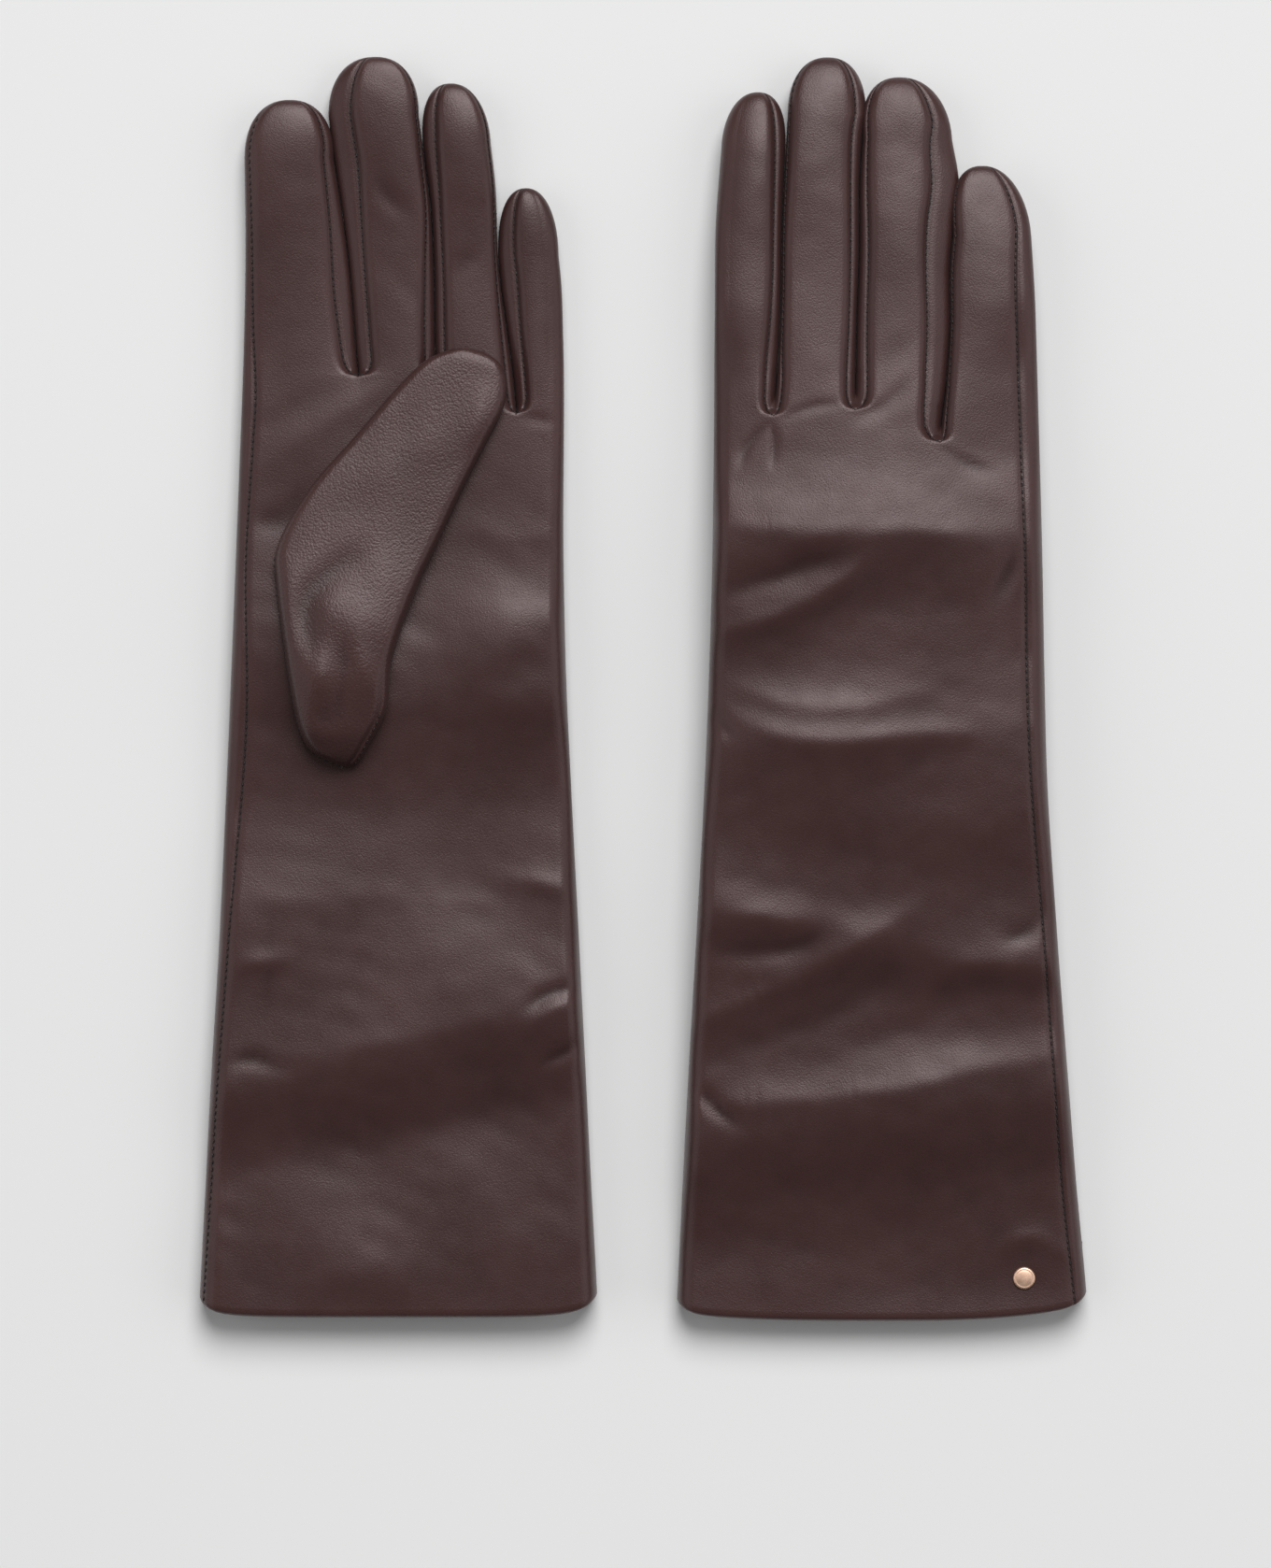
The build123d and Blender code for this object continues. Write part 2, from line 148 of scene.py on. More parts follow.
LEFT = {
    "side": "left",
    "palm_up": True,
    "outline_left": ((-175, -123.6), (-120, -121), (-68, -118), (-27, -116.1), (36, -113.5), (67, -112.3),
                     (98, -111.2), (125, -110.8), (148, -111.1)),
    "outline_right": ((-175, -12.6), (-120, -15.2), (-68, -17.8), (-27, -19.9), (4, -21.3), (36, -22),
                      (98, -22.1), (114, -22.7), (122, -23.5)),
    "gaps": (
        ((60, -78.2), (88, -79.3), (96, -80.1), (104, -80.7), (119, -82), (135, -84.1), (152, -86.7),
         (162, -88)),
        ((60, -57.2), (88, -57.6), (98, -57.9), (116, -58.2), (135, -59.2), (148, -60.9), (160, -62.4)),
        ((55, -33.8), (69, -34.3), (77, -35.1), (89, -36.3), (100, -37.8), (112, -39.5), (119, -40.2),
         (141, -41), (154, -42.5)),
    ),
    # tip x, tip y, shoulder y
    "tips": ((-98.4, 164.4, 148), (-74.8, 176.4, 160), (-53.6, 169, 152), (-32.6, 139.8, 121)),
    "palm_crotches": (87.2, 86.5, 76.8),
    "back_crotches": (76, 78, 69),
    "splits": (90, 90, 90, 83),
    # (y, inset) of the seams that show on the upper face
    "upper_insets": (
        (((-175, 1.2), (-68, 2.9), (-3, 5), (35, 3), (69, 3.7), (80, 3.9), (100, 2.6), (132, 1.7),
          (150, 1.4)),
         ((88, 3.4), (97, 4.1), (112, 4.8), (130, 3.8), (152, 2.5))),
        (((88, 4), (104, 4.1), (119, 4.3), (135, 5.4), (146, 6.4), (160, 6.3)),
         ((88, 2.8), (98, 2.8), (116, 2.4), (135, 1.2), (155, 0.7))),
        (((88, 2.6), (116, 2.6), (131, 2.5), (144, 3.2), (155, 3.8)),
         ((77, 2), (88, 2), (100, 1.6), (112, 1), (150, 0.7))),
        (((77, 3), (84, 3.1), (100, 3.7), (114, 4.7), (125, 4.4)), None),
    ),
    "under_wrap": 5.3,
    "floor": ((-175, 0.2), (180, 0.2)),
    "thickness": ((-175, 9.6), (-150, 10.6), (-60, 11.8), (60, 12), (100, 11.4), (180, 10.6)),
    "droop": 0.0,
    # (y, height) of the upper face's broad swells, and (y, slant) of their crests
    "swell": ((-175, 3.6), (-164, 3.1), (-140, 1.2), (-127, 0.1), (-113, 1.1), (-100, 2.4), (-88, 2),
              (-74, 1.2), (-60, 0.2), (-44, -1.3), (-31, -2.2), (-25, -2), (-12, -0.6), (-3, 0.7), (4, 1),
              (26, -0.6), (60, -2), (80, -2.3), (100, -2.2), (140, -1.1), (176, 0)),
    "slant": ((-175, 0), (-140, 0.12), (-110, 0.24), (-60, 0.05), (0, 0)),
    "bow": (1.6, 2.6, 6.0),
    "cuff_drop": 0.0,
    "thumb_base": (-98.0, 10.0),
    "thumb_turn": 0.0,
    "stud": (-30.0, -164.0),
    "seed": 11,
    # ((x, y) points, half width, height) of the upper face's soft folds
    "folds": (
        (((-108, 60), (-94, 70), (-78, 81), (-65, 88)), 6.0, 1.0),
        (((-108, 47), (-100, 47), (-94, 54)), 4.0, -0.9),
        (((-106, 72), (-96, 78), (-88, 84)), 4.0, -0.6),
        (((-22, 44), (-36, 42), (-50, 46)), 7.0, 0.8),
        (((-16, 22), (-40, 22), (-80, 26)), 12.0, 0.5),
        (((-20, 23), (-34, 22), (-46, 28)), 4.5, 0.2),
        (((-20, 8), (-32, 6), (-46, 0)), 7.0, -0.9),
        (((-118, -42), (-80, -38), (-24, -40)), 7.0, -0.3),
        (((-122, -60), (-80, -58), (-10, -62)), 10.0, 0.4),
        (((-19, -56), (-28, -54), (-38, -52)), 3.4, 0.8),
        (((-122, -104), (-68, -98), (-14, -84)), 8.0, 0.5),
        (((-17, -83), (-26, -85), (-34, -90)), 2.4, -0.8),
        (((-17, -87), (-24, -89), (-32, -94)), 2.2, 0.4),
        (((-16, -98), (-22, -101), (-28, -104)), 2.0, -0.6),
        (((-120, -125), (-90, -124), (-60, -121), (-38, -116), (-15, -111)), 7.0, -0.6),
        (((-112, -77), (-106, -76), (-100, -75)), 2.4, 0.6),
        (((-114, -104), (-108, -103), (-100, -106)), 2.4, -0.6),
        (((-104, -60), (-104, -76), (-105, -92)), 2.6, -0.25),
        (((-70, 118), (-64, 110), (-60, 104)), 3.2, -0.4),
        (((-54, 112), (-50, 118), (-46, 121)), 3.0, -0.6),
        (((-74, 143), (-70, 136), (-66, 132)), 2.6, -0.6),
        (((-80, 140), (-79, 146), (-80, 153)), 1.6, -0.5),
        (((-34, 76), (-29, 75), (-24, 74)), 2.0, -0.5),
    ),
}

RIGHT = {
    "side": "right",
    "palm_up": False,
    "outline_left": ((-175, 9.6), (-120, 12.1), (-68, 15), (-27, 17.2), (36, 19.4), (67, 19.8), (107, 20.1),
                     (130, 20.4), (150, 21.9)),
    "outline_right": ((-175, 124), (-120, 119.5), (-68, 115.3), (-27, 112.6), (4, 111.8), (36, 111.2),
                      (67, 110.4), (96, 109.6), (112, 109), (126, 108.2)),
    "gaps": (
        ((60, 36), (76, 36.4), (85, 37.2), (100, 38.2), (111, 38.6), (129, 38.9), (145, 39.6), (160, 40.4)),
        ((60, 59), (77, 59.1), (100, 59.5), (122, 60.3), (144, 60.6), (155, 61.5), (166, 63.6)),
        ((55, 82.4), (69, 82.6), (85, 84.4), (100, 85.5), (118, 85.6), (130, 86.8), (141, 88.2), (153, 86.4)),
    ),
    "tips": ((32.2, 166.4, 150), (51.7, 176.2, 160), (71.8, 170.6, 153), (94.6, 145.7, 126)),
    "palm_crotches": (87.5, 87.5, 78),
    "back_crotches": (75.8, 77.4, 68.4),
    "splits": (90, 90, 90, 83),
    "upper_insets": (
        (None, ((76, 2.6), (83, 3), (92, 3.2), (103, 2.8), (122, 2.4), (144, 2.7), (158, 3.2))),
        (((76, 1.6), (85, 1.5), (93, 0.9), (110, 0.6), (160, 0.6)),
         ((77, 2.5), (88, 2.5), (100, 2.2), (122, 2.4), (140, 2.5), (155, 3.1))),
        (((77, 3), (83, 3.1), (100, 2.8), (114, 2.6), (130, 2.3), (141, 2), (152, 1.5)),
         ((70, 4), (74, 4.8), (85, 5.8), (100, 6.4), (114, 6.6), (133, 7.6), (148, 7.2), (158, 5))),
        (((70, 1.4), (76, 1), (84, 0.7), (126, 0.7)),
         ((-175, 3.6), (-146, 4.3), (-68, 4.1), (-3, 5.3), (36, 5.2), (67, 5.5), (96, 5.6), (114, 5.4),
          (128, 4.2))),
    ),
    "under_wrap": 4.0,
    "floor": ((-175, 0.2), (-158, 0.4), (-120, 3), (-75, 6.6), (-34, 9.2), (10, 9.4), (80, 9.3), (105, 8),
              (140, 4.3), (176, 0.6)),
    "thickness": ((-175, 9.6), (-150, 10.6), (-60, 11.8), (50, 12.4), (100, 11.2), (180, 10.6)),
    "droop": 2.6,
    "swell": ((-175, 2.5), (-166, 1.7), (-154, 0.7), (-140, 1), (-118, 2.7), (-108, 1.8), (-94, -0.1),
              (-84, -0.8), (-72, 0.1),
              (-58, -0.4), (-48, -0.7), (-34, -0.1), (-14, 0.7), (-4, -0.2), (6, -0.7), (20, -0.3), (40, 0.6),
              (50, 0), (66, -1.5), (80, -2), (100, -1.9), (140, -0.6), (176, 0.6)),
    "slant": ((-175, 0), (-110, 0.12), (-88, 0), (-62, -0.2), (-40, -0.1), (0, 0.05), (40, 0)),
    "bow": (1.9, 4.2, 3.0),
    "cuff_drop": 1.0,
    "thumb_base": (35.0, 10.0),
    "thumb_turn": -8.0,
    "stud": (106.2, -164.0),
    "seed": 23,
    "folds": (
        (((12, 46), (60, 44), (112, 42)), 14.0, 1.4),
        (((20, 45), (36, 43.5), (52, 41), (63, 41.5), (82, 43), (98, 41)), 6.0, 0.7),
        (((22, 27), (40, 32), (58, 39)), 4.2, -1.2),
        (((12, 14), (22, 16), (40, 21), (57, 31), (63, 38)), 4.6, 1.4),
        (((104, 38), (101, 32), (98, 25)), 3.0, -0.8),
        (((12, -10), (60, -14), (114, -10)), 9.0, 0.7),
        (((22, 2), (40, -4.3), (60, -4.9), (76, -1.4)), 3.4, 0.7),
        (((24, -7), (38, -13.5), (55, -15.5), (74, -13), (92, -13)), 5.0, 1.0),
        (((19, -5), (21, -9), (25, -13)), 2.4, -0.9),
        (((12, -60), (50, -66), (84, -76)), 9.0, 0.6),
        (((18, -62), (32, -63), (46, -66)), 3.6, 0.6),
        (((18, -73), (40, -72), (50, -68)), 4.2, -1.3),
        (((10, -96), (18, -91), (47, -79), (66, -67), (78, -59)), 5.6, 1.3),
        (((30, -98), (56, -88), (74, -74)), 5.0, -0.8),
        (((74, -90), (83, -80), (95, -77), (110, -79)), 3.6, 0.8),
        (((-8, -116), (26, -115.5), (62, -112.5), (95, -106), (122, -100)), 9.0, 1.6),
        (((16, -112), (20, -116), (26, -121)), 2.6, -1.0),
        (((16, -140), (60, -138), (108, -134)), 13.0, -0.4),
        (((116, -158), (108, -153), (100, -155)), 2.0, 0.6),
        (((112, -62), (106, -68), (100, -70)), 2.6, -0.6),
        (((34, 73), (29, 67), (27, 62)), 1.3, -0.7),
        (((36, 73), (36.5, 68), (36, 62)), 1.2, -0.7),
        (((39, 75), (47, 78), (54, 79)), 1.6, -0.5),
        (((60, 75), (68, 79), (74, 86)), 2.4, -0.8),
        (((84, 66), (90, 62), (96, 60)), 1.5, -0.6),
        (((94, 43), (104, 43), (112, 44)), 11.0, -1.2),
        (((64, 84), (70, 92), (78, 99)), 4.0, -0.6),
    ),
}

# The folded thumb of the left glove: (left edge x, y), (right edge x, y) from its heel to its tip
THUMB_EDGES = (
    ((-82.6, -22.1), (-80.6, -21.8)),
    ((-87.8, -20), (-78.6, -19.8)),
    ((-92.8, -16.8), (-75.8, -15.2)),
    ((-96.2, -9), (-71, -5.6)),
    ((-99.4, 10), (-69.2, 9)),
    ((-101.8, 28), (-62.6, 28)),
    ((-101.4, 40), (-57, 40.4)),
    ((-92.5, 55.9), (-49.9, 55.9)),
    ((-80.6, 69.6), (-43.6, 68.4)),
    ((-69.6, 82.4), (-38.6, 78.4)),
    ((-61.2, 90.8), (-37.8, 85)),
    ((-53.6, 94.4), (-39.4, 90.2)),
    ((-48.4, 95.1), (-44, 94)),
)
THUMB_THICKNESS = 8.2
PRESSED = 0.82
THUMB_CLEAR = (0.4, 0.35)
THUMB_RIMS = (3.4, 3.0)
THUMB_RELIEF = 0.05
# Shares of the thumb's length: its rounded heel and tip, and where its heel rises, its tip falls,
# its sewn edge lets go and its welt fades out
HEEL_ROUND = 0.16
THUMB_TIP_ROUND = 0.13
HEEL_RISE = (0, 0.3)
TIP_DROP = (0.34, 1)
EDGE_FREE = (0.36, 0.56)
WELT_FADE = (0.26, 0.36)
WELT = (0.9, 2.1, 0.6)  # depth, distance from the edge, half width
THUMB_ROWS = 84
THUMB_COLUMNS = 34
THUMB_FOLDS = (
    (((-80, 37), (-92, 25), (-92, 9)), 3.6, -1.0),
    (((-83, 12), (-83, 3), (-84, -6)), 1.7, -0.4),
    (((-89, 11), (-89, 3), (-90, -5)), 2.3, 0.8),
    (((-80, 15), (-77, 7), (-76, -2)), 2.6, 0.7),
    (((-93, -4), (-92, -9), (-89, -13)), 2.2, 0.8),
    (((-95, 12), (-92, 3), (-92, -6)), 3.2, 0.7),
    (((-98, -11), (-87, -13), (-73, -10)), 7.0, 1.5),
    (((-98, 6), (-88, 3), (-72, 4)), 8.0, 0.8),
    (((-97, 36), (-98, 24), (-97, 12)), 3.0, 0.5),
    (((-100, 26), (-82, 20), (-66, 16)), 17.0, 2.3),
    (((-78, 42), (-72, 28), (-74, 18)), 6.0, 0.4),
    (((-44, 84), (-46, 74), (-50, 66)), 3.4, 0.6),
)


# ---------------------------------------------------------------- shape functions


def smooth(points):
    """A smooth function through (position, value) points, level past its ends."""
    knots = np.array(points, float)
    at, value = knots[:, 0], knots[:, 1]
    slope = np.gradient(value, at)

    def function(position):
        p = np.clip(position, at[0], at[-1])
        i = np.clip(np.searchsorted(at, p) - 1, 0, len(at) - 2)
        step = at[i + 1] - at[i]
        t = (p - at[i]) / step
        rise = t * t * (3 - 2 * t)
        swing = t * (1 - t) ** 2 * slope[i] - t * t * (1 - t) * slope[i + 1]
        return value[i] * (1 - rise) + value[i + 1] * rise + swing * step

    return function


def ramp(value, low, high):
    """0 up to low, 1 past high, with a smooth rise between."""
    t = np.clip((value - low) / (high - low), 0, 1)
    return t * t * (3 - 2 * t)


def spread(count, closeness):
    """Shares from 0 to 1, even at a closeness of 0 and crowded near both ends at 1."""
    t = np.linspace(0, 1, count + 1)
    return (1 - closeness) * t + closeness * (1 - np.cos(math.pi * t)) / 2


def quarter_round(distance, radius, power=2.0):
    """Height share of a rounded rim at a distance in from its edge."""
    inner = 1 - np.clip(distance / radius, 0, 1)
    return np.sqrt(np.maximum(1 - inner**power, 0))


def waves(seed, shortest, longest, count=26):
    """A smooth random height field of unit size, the same on each run."""
    rng = np.random.default_rng(seed)
    length = np.exp(rng.uniform(math.log(shortest), math.log(longest), count))
    turn = rng.uniform(0, 2 * math.pi, count)
    phase = rng.uniform(0, 2 * math.pi, count)

    def field(x, y):
        total = np.zeros(np.shape(x))
        for size, angle, start in zip(length, turn, phase):
            total += np.sin((x * math.cos(angle) + y * math.sin(angle)) * 2 * math.pi / size + start)
        return total / math.sqrt(count / 2)

    return field


def fold_field(folds):
    """Heights of soft folds, each along a bent line and fading towards both its ends."""
    prepared = []
    along = np.linspace(0, 1, SPLINE_POINTS)
    fade = np.sin(math.pi * (FOLD_END + (1 - 2 * FOLD_END) * along))
    for points, width, height in folds:
        share = np.linspace(0, 1, len(points))
        line_x = smooth(list(zip(share, [p[0] for p in points])))(along)
        line_y = smooth(list(zip(share, [p[1] for p in points])))(along)
        prepared.append((line_x, line_y, width, height))

    def field(x, y):
        total = np.zeros(np.shape(x))
        for line_x, line_y, width, height in prepared:
            away = (x[..., None] - line_x) ** 2 + (y[..., None] - line_y) ** 2
            soft = np.exp(-away / width**2)
            crisp = np.exp(-(np.sqrt(away + CREST**2) - CREST) / (CRISPNESS * width))
            strength = (fade * (crisp if height > 0 else soft)).max(-1)
            total += height * strength
        return total

    return field


# ---------------------------------------------------------------- the skin of a glove


class Glove:
    """Outlines, seam lines and heights of one glove."""

    def __init__(self, plan):
        self.plan = plan
        self.side = plan["side"]
        self.palm_up = plan["palm_up"]
        self.outer = smooth(plan["outline_left"]), smooth(plan["outline_right"])
        self.gap_lines = [smooth(line) for line in plan["gaps"]]
        self.gap_starts = [line[0][0] for line in plan["gaps"]]
        self.floor = smooth(plan["floor"])
        self.thickness = smooth(plan["thickness"])
        self.cuff = plan["outline_left"][0][0]
        self.folds = fold_field(plan["folds"])
        self.swell = smooth(plan["swell"])
        self.slant = smooth(plan["slant"])
        self.broad = waves(plan["seed"], 38, 90)
        self.small = waves(plan["seed"] + 1, 7, 20)
        crotches = plan["palm_crotches"], plan["back_crotches"]
        self.crotches = dict(zip((1, -1), crotches if self.palm_up else crotches[::-1]))
        self.insets = {1: [], -1: []}
        for position, (left, right) in enumerate(plan["upper_insets"]):
            plain = (0, PLAIN_EDGE), (1, PLAIN_EDGE)
            self.insets[1].append([smooth(seam or plain) for seam in (left, right)])
            under = [UNDER_INSET, UNDER_INSET]
            if position == 0:
                under[0] = PLAIN_EDGE if self.palm_up else plan["under_wrap"]
            if position == 3:
                under[1] = plan["under_wrap"] if self.palm_up else PLAIN_EDGE
            self.insets[-1].append([smooth(((0, value), (1, value))) for value in under])
        # The outer sides that carry a wrap seam, by (face, side)
        self.wraps = {(1, 0), (-1, 1)} if self.palm_up else {(1, 1), (-1, 0)}

    def rows(self, finger):
        """Stations of a finger's strip from the cuff to the tip: y, and how much the tip has drawn in."""
        plan = self.plan
        marks = sorted({*plan["palm_crotches"], *plan["back_crotches"], *plan["splits"]})
        split = plan["splits"][finger]
        stops = [self.cuff + HEM_PATH[-1][0], marks[0] - 3, *marks]
        rows = []
        for start, end in zip(stops, stops[1:]):
            step = ROW_STEP if start == stops[0] else FINE_STEP
            rows += list(np.linspace(start, end, max(1, round((end - start) / step)), endpoint=False))
        rows = [y for y in rows + [marks[-1]] if y <= split]
        tip_x, tip_y, shoulder = plan["tips"][finger]
        rows += list(np.linspace(split, shoulder, round((shoulder - split) / ROW_STEP))[1:])
        turn = np.linspace(0, math.pi / 2, TIP_ROWS)[1:]
        y = np.array(rows + list(shoulder + (tip_y - shoulder) * np.sin(turn) ** (2 / TIP_ROUND)))
        narrow = np.concatenate([np.ones(len(rows)), np.maximum(np.cos(turn), 0) ** (2 / TIP_ROUND)])
        narrow[-1] = 0.0
        return y, narrow

    def gap_line(self, gap, y):
        """Plan line between two fingers, which runs on down the hand."""
        start = self.gap_starts[gap]
        line = self.gap_lines[gap]
        low = np.minimum(y, start)
        edges = [edge(start) for edge in self.outer]
        share = (line(start) - edges[0]) / (edges[1] - edges[0])
        below = self.outer[0](low) * (1 - share) + self.outer[1](low) * share
        return np.where(y < start, below, line(y))

    def sides(self, finger, y, narrow):
        """Silhouette of a finger's strip: its left and right x."""
        tip_x, tip_y, shoulder = self.plan["tips"][finger]
        at = np.minimum(y, shoulder)
        left = self.outer[0](at) if finger == 0 else self.gap_line(finger - 1, at) + HALF_GAP
        right = self.outer[1](at) if finger == 3 else self.gap_line(finger, at) - HALF_GAP
        lean = np.clip((y - shoulder) / (tip_y - shoulder), 0, 1) ** TIP_LEAN
        centre = (left + right) / 2
        drawn = centre + (tip_x - centre) * lean
        return drawn + (left - centre) * narrow, drawn + (right - centre) * narrow

    def seams(self, face, finger, y, narrow):
        """Left and right x of a strip's panel on one face: its seams, or where its outer rim starts."""
        result = []
        for side, silhouette in enumerate(self.sides(finger, y, narrow)):
            inward = 1 if side == 0 else -1
            seam = silhouette + inward * self.insets[face][finger][side](y) * narrow
            gap = finger - 1 + side
            if 0 <= gap <= 2:
                crotch = self.crotches[face][gap]
                line = self.gap_line(gap, y)
                share = quarter_round(y - crotch, CROTCH_LENGTH)
                seam = np.where(y < crotch, line, line + (seam - line) * share)
            result.append(seam)
        return result

    def middle(self, x, y):
        """Height of the glove's mid surface."""
        lift = self.floor(y) + self.thickness(y) / 2
        if self.plan["droop"]:
            left, right = self.outer[0](y), self.outer[1](y)
            across = (2 * x - left - right) / (right - left)
            zone = ramp(y, *DROOP_IN) * (1 - ramp(y, *DROOP_OUT))
            lift = lift - self.plan["droop"] * zone * np.clip(np.abs(across), 0, 1) ** 3
        return lift

    def height(self, face, finger, x, y, narrow):
        """Height of a face above or below the mid surface, before its folds."""
        left, right = self.sides(finger, y, narrow)
        seam_left, seam_right = self.seams(face, finger, y, narrow)
        scale = np.maximum(narrow, 1e-3)
        rim = np.ones(np.shape(x))
        dip = np.zeros(np.shape(x))
        for side, silhouette, seam in ((0, left, seam_left), (1, right, seam_right)):
            inward = 1 if side == 0 else -1
            gap = finger - 1 + side
            into = np.maximum((x - seam) * inward, 0)
            if 0 <= gap <= 2:
                strength = ramp(y - self.crotches[face][gap], *CROTCH_FADE)
                edge = np.maximum(1 - into / scale / ROLL_WIDTH, 0) ** 2
                dip += ROLL_DEPTH * strength * edge
            else:
                rim = rim * quarter_round((x - silhouette) * inward / scale, EDGE_RADIUS, RIM_POWER)
                if (face, side) in self.wraps:
                    off = (x - seam) / (GROOVE_WIDTH * scale)
                    dip += GROOVE_DEPTH * np.exp(-(off**2))
        width = np.maximum(seam_right - seam_left, 1e-3)
        across = np.clip((2 * x - seam_left - seam_right) / width, -1, 1)
        crown = CROWN * ramp(y, *FINGER_ROOT) * across**2 if face == 1 else 0
        half = self.thickness(y) / 2
        if face == 1:
            off_centre = x - (self.outer[0](y) + self.outer[1](y)) / 2
            half = half + self.swell(y - self.slant(y) * off_centre)
        return narrow**TIP_FALL * (half * rim * (1 - crown) - dip)

    def point(self, face, finger, x, y, narrow):
        """Points of the skin at plan positions."""
        rise = self.height(face, finger, x, y, narrow)
        level = self.middle(x, y)
        full = np.clip(rise / (self.thickness(y) / 2), 0, 1) * narrow
        relief = BROAD_RELIEF * self.broad(x, y) + FINE_RELIEF * self.small(x, y)
        relief = relief + (self.folds(x, y) if face == 1 else 0)
        hold = ramp(y, *HEM_HOLD) * (1 - HEM_RELIEF) + HEM_RELIEF
        relief = relief * full**2 * hold * (1 if face == 1 else UNDER_RELIEF)
        z = level + face * rise + (relief if face == 1 else np.maximum(relief, 0))
        return np.stack([x, y + self.bow(x, y), z], -1)

    def bow(self, x, y):
        """How far the cuff's edge curves up towards its two ends."""
        across = (2 * x - self.outer[0](y) - self.outer[1](y)) / (self.outer[1](y) - self.outer[0](y))
        left, right, power = self.plan["bow"]
        rise = np.where(across < 0, left, right) * np.abs(across) ** power
        rise = rise + CORNER_RISE * np.abs(across) ** CORNER_POWER
        return (rise - self.plan["cuff_drop"]) * (1 - ramp(y, self.cuff, self.cuff + BOW_REACH))


def nearest(values, target):
    """The place in a list of the value nearest to a target."""
    return int(np.argmin(np.abs(values - target)))


def with_hem(glove, grid):
    """Adds the rows that turn the cuff's edge in and run back up inside it."""
    first = grid[0]
    left, right = glove.outer[0](glove.cuff), glove.outer[1](glove.cuff)
    centre, half_width = (left + right) / 2, (right - left) / 2
    half = glove.thickness(glove.cuff) / 2
    level = glove.middle(centre, glove.cuff)
    rows = []
    for back, share in HEM_PATH[:-1]:
        inset = HEM_INSET * share
        row = first.copy()
        row[:, 0] = centre + (first[:, 0] - centre) * (half_width - inset) / half_width
        row[:, 1] = first[:, 1] - HEM_PATH[-1][0] + back
        row[:, 2] = level + (first[:, 2] - level) * (half - inset) / half
        rows.append(row)
    return np.concatenate([np.array(rows), grid])


def strip_grid(glove, face, finger, rows, start, end, shares):
    """The skin of one face between two lines of a finger's strip."""
    x = start[:, None] * (1 - shares) + end[:, None] * shares
    wide = [np.repeat(v[:, None], x.shape[1], 1) for v in rows]
    return glove.point(face, finger, x, *wide)


def glove_grids(glove, columns, edge_columns, ribbon_columns, hem=True):
    """All grids of a glove's skin as (piece name, points, flipped)."""
    grids, strips = [], {}
    edge_shares = 1 - np.cos(math.pi / 2 * np.linspace(0, 1, edge_columns + 1))

    def add(grid, cut, is_palm, flipped):
        panel, strip = ("palm_panel", "front") if is_palm else ("back_panel", "back")
        hand = grid[: cut + 1]
        grids.append((f"{glove.side}_{panel}", with_hem(glove, hand) if hem else hand, flipped))
        grids.append((f"{glove.side}_{FINGERS[finger]}_{strip}", grid[cut:], flipped))

    for finger in range(4):
        rows = glove.rows(finger)
        cut = nearest(rows[0], glove.plan["splits"][finger])
        for face in (1, -1):
            seams = glove.seams(face, finger, *rows)
            grid = strip_grid(glove, face, finger, rows, *seams, spread(columns, PANEL_CLOSENESS))
            strips[face, finger] = grid, *rows
            add(grid, cut, (face == 1) == glove.palm_up, face < 0)
            for rim, (seam, silhouette) in enumerate(zip(seams, glove.sides(finger, *rows))):
                if (finger, rim) in ((0, 0), (3, 1)):
                    grid = strip_grid(glove, face, finger, rows, silhouette, seam, edge_shares)
                    add(grid, cut, rim == 1, (face < 0) != (rim == 1))
    for gap in range(3):
        grids += ribbon_grids(glove, gap, strips, ribbon_columns)
    return grids


def ribbon_curve(opened, deep, silhouette, t):
    """One fourchette's section from the seam of the open face to the seam of the deep face."""
    turn = np.sin(math.pi * t)
    rise = (1 - np.cos(math.pi * t)) / 2
    x = opened[:, None, 0] * (1 - ramp(t, 0.2, 0.8)) + deep[:, None, 0] * ramp(t, 0.2, 0.8)
    x = x + (silhouette[:, None] - x) * np.maximum(turn, 0) ** 0.8
    y = opened[:, None, 1] + 0 * x
    z = opened[:, None, 2] * (1 - rise) + deep[:, None, 2] * rise
    room = np.abs(silhouette[:, None] - opened[:, None, 0])
    for edge, toward in ((opened, 1), (deep, -1)):
        away = np.abs(x - edge[:, None, 0]) / BEAD_REACH
        near = (t < 0.5) if toward == 1 else (t > 0.5)
        sign = np.sign(edge[:, None, 2] - (opened[:, None, 2] + deep[:, None, 2]) / 2)
        bead = BEAD_HEIGHT * away * np.exp(1 - away) * np.clip(room / BEAD_ROOM, 0, 1)
        z = z + np.where(near, sign * bead * np.abs(np.cos(math.pi * t)), 0)
    return np.stack([x, y, z], -1)


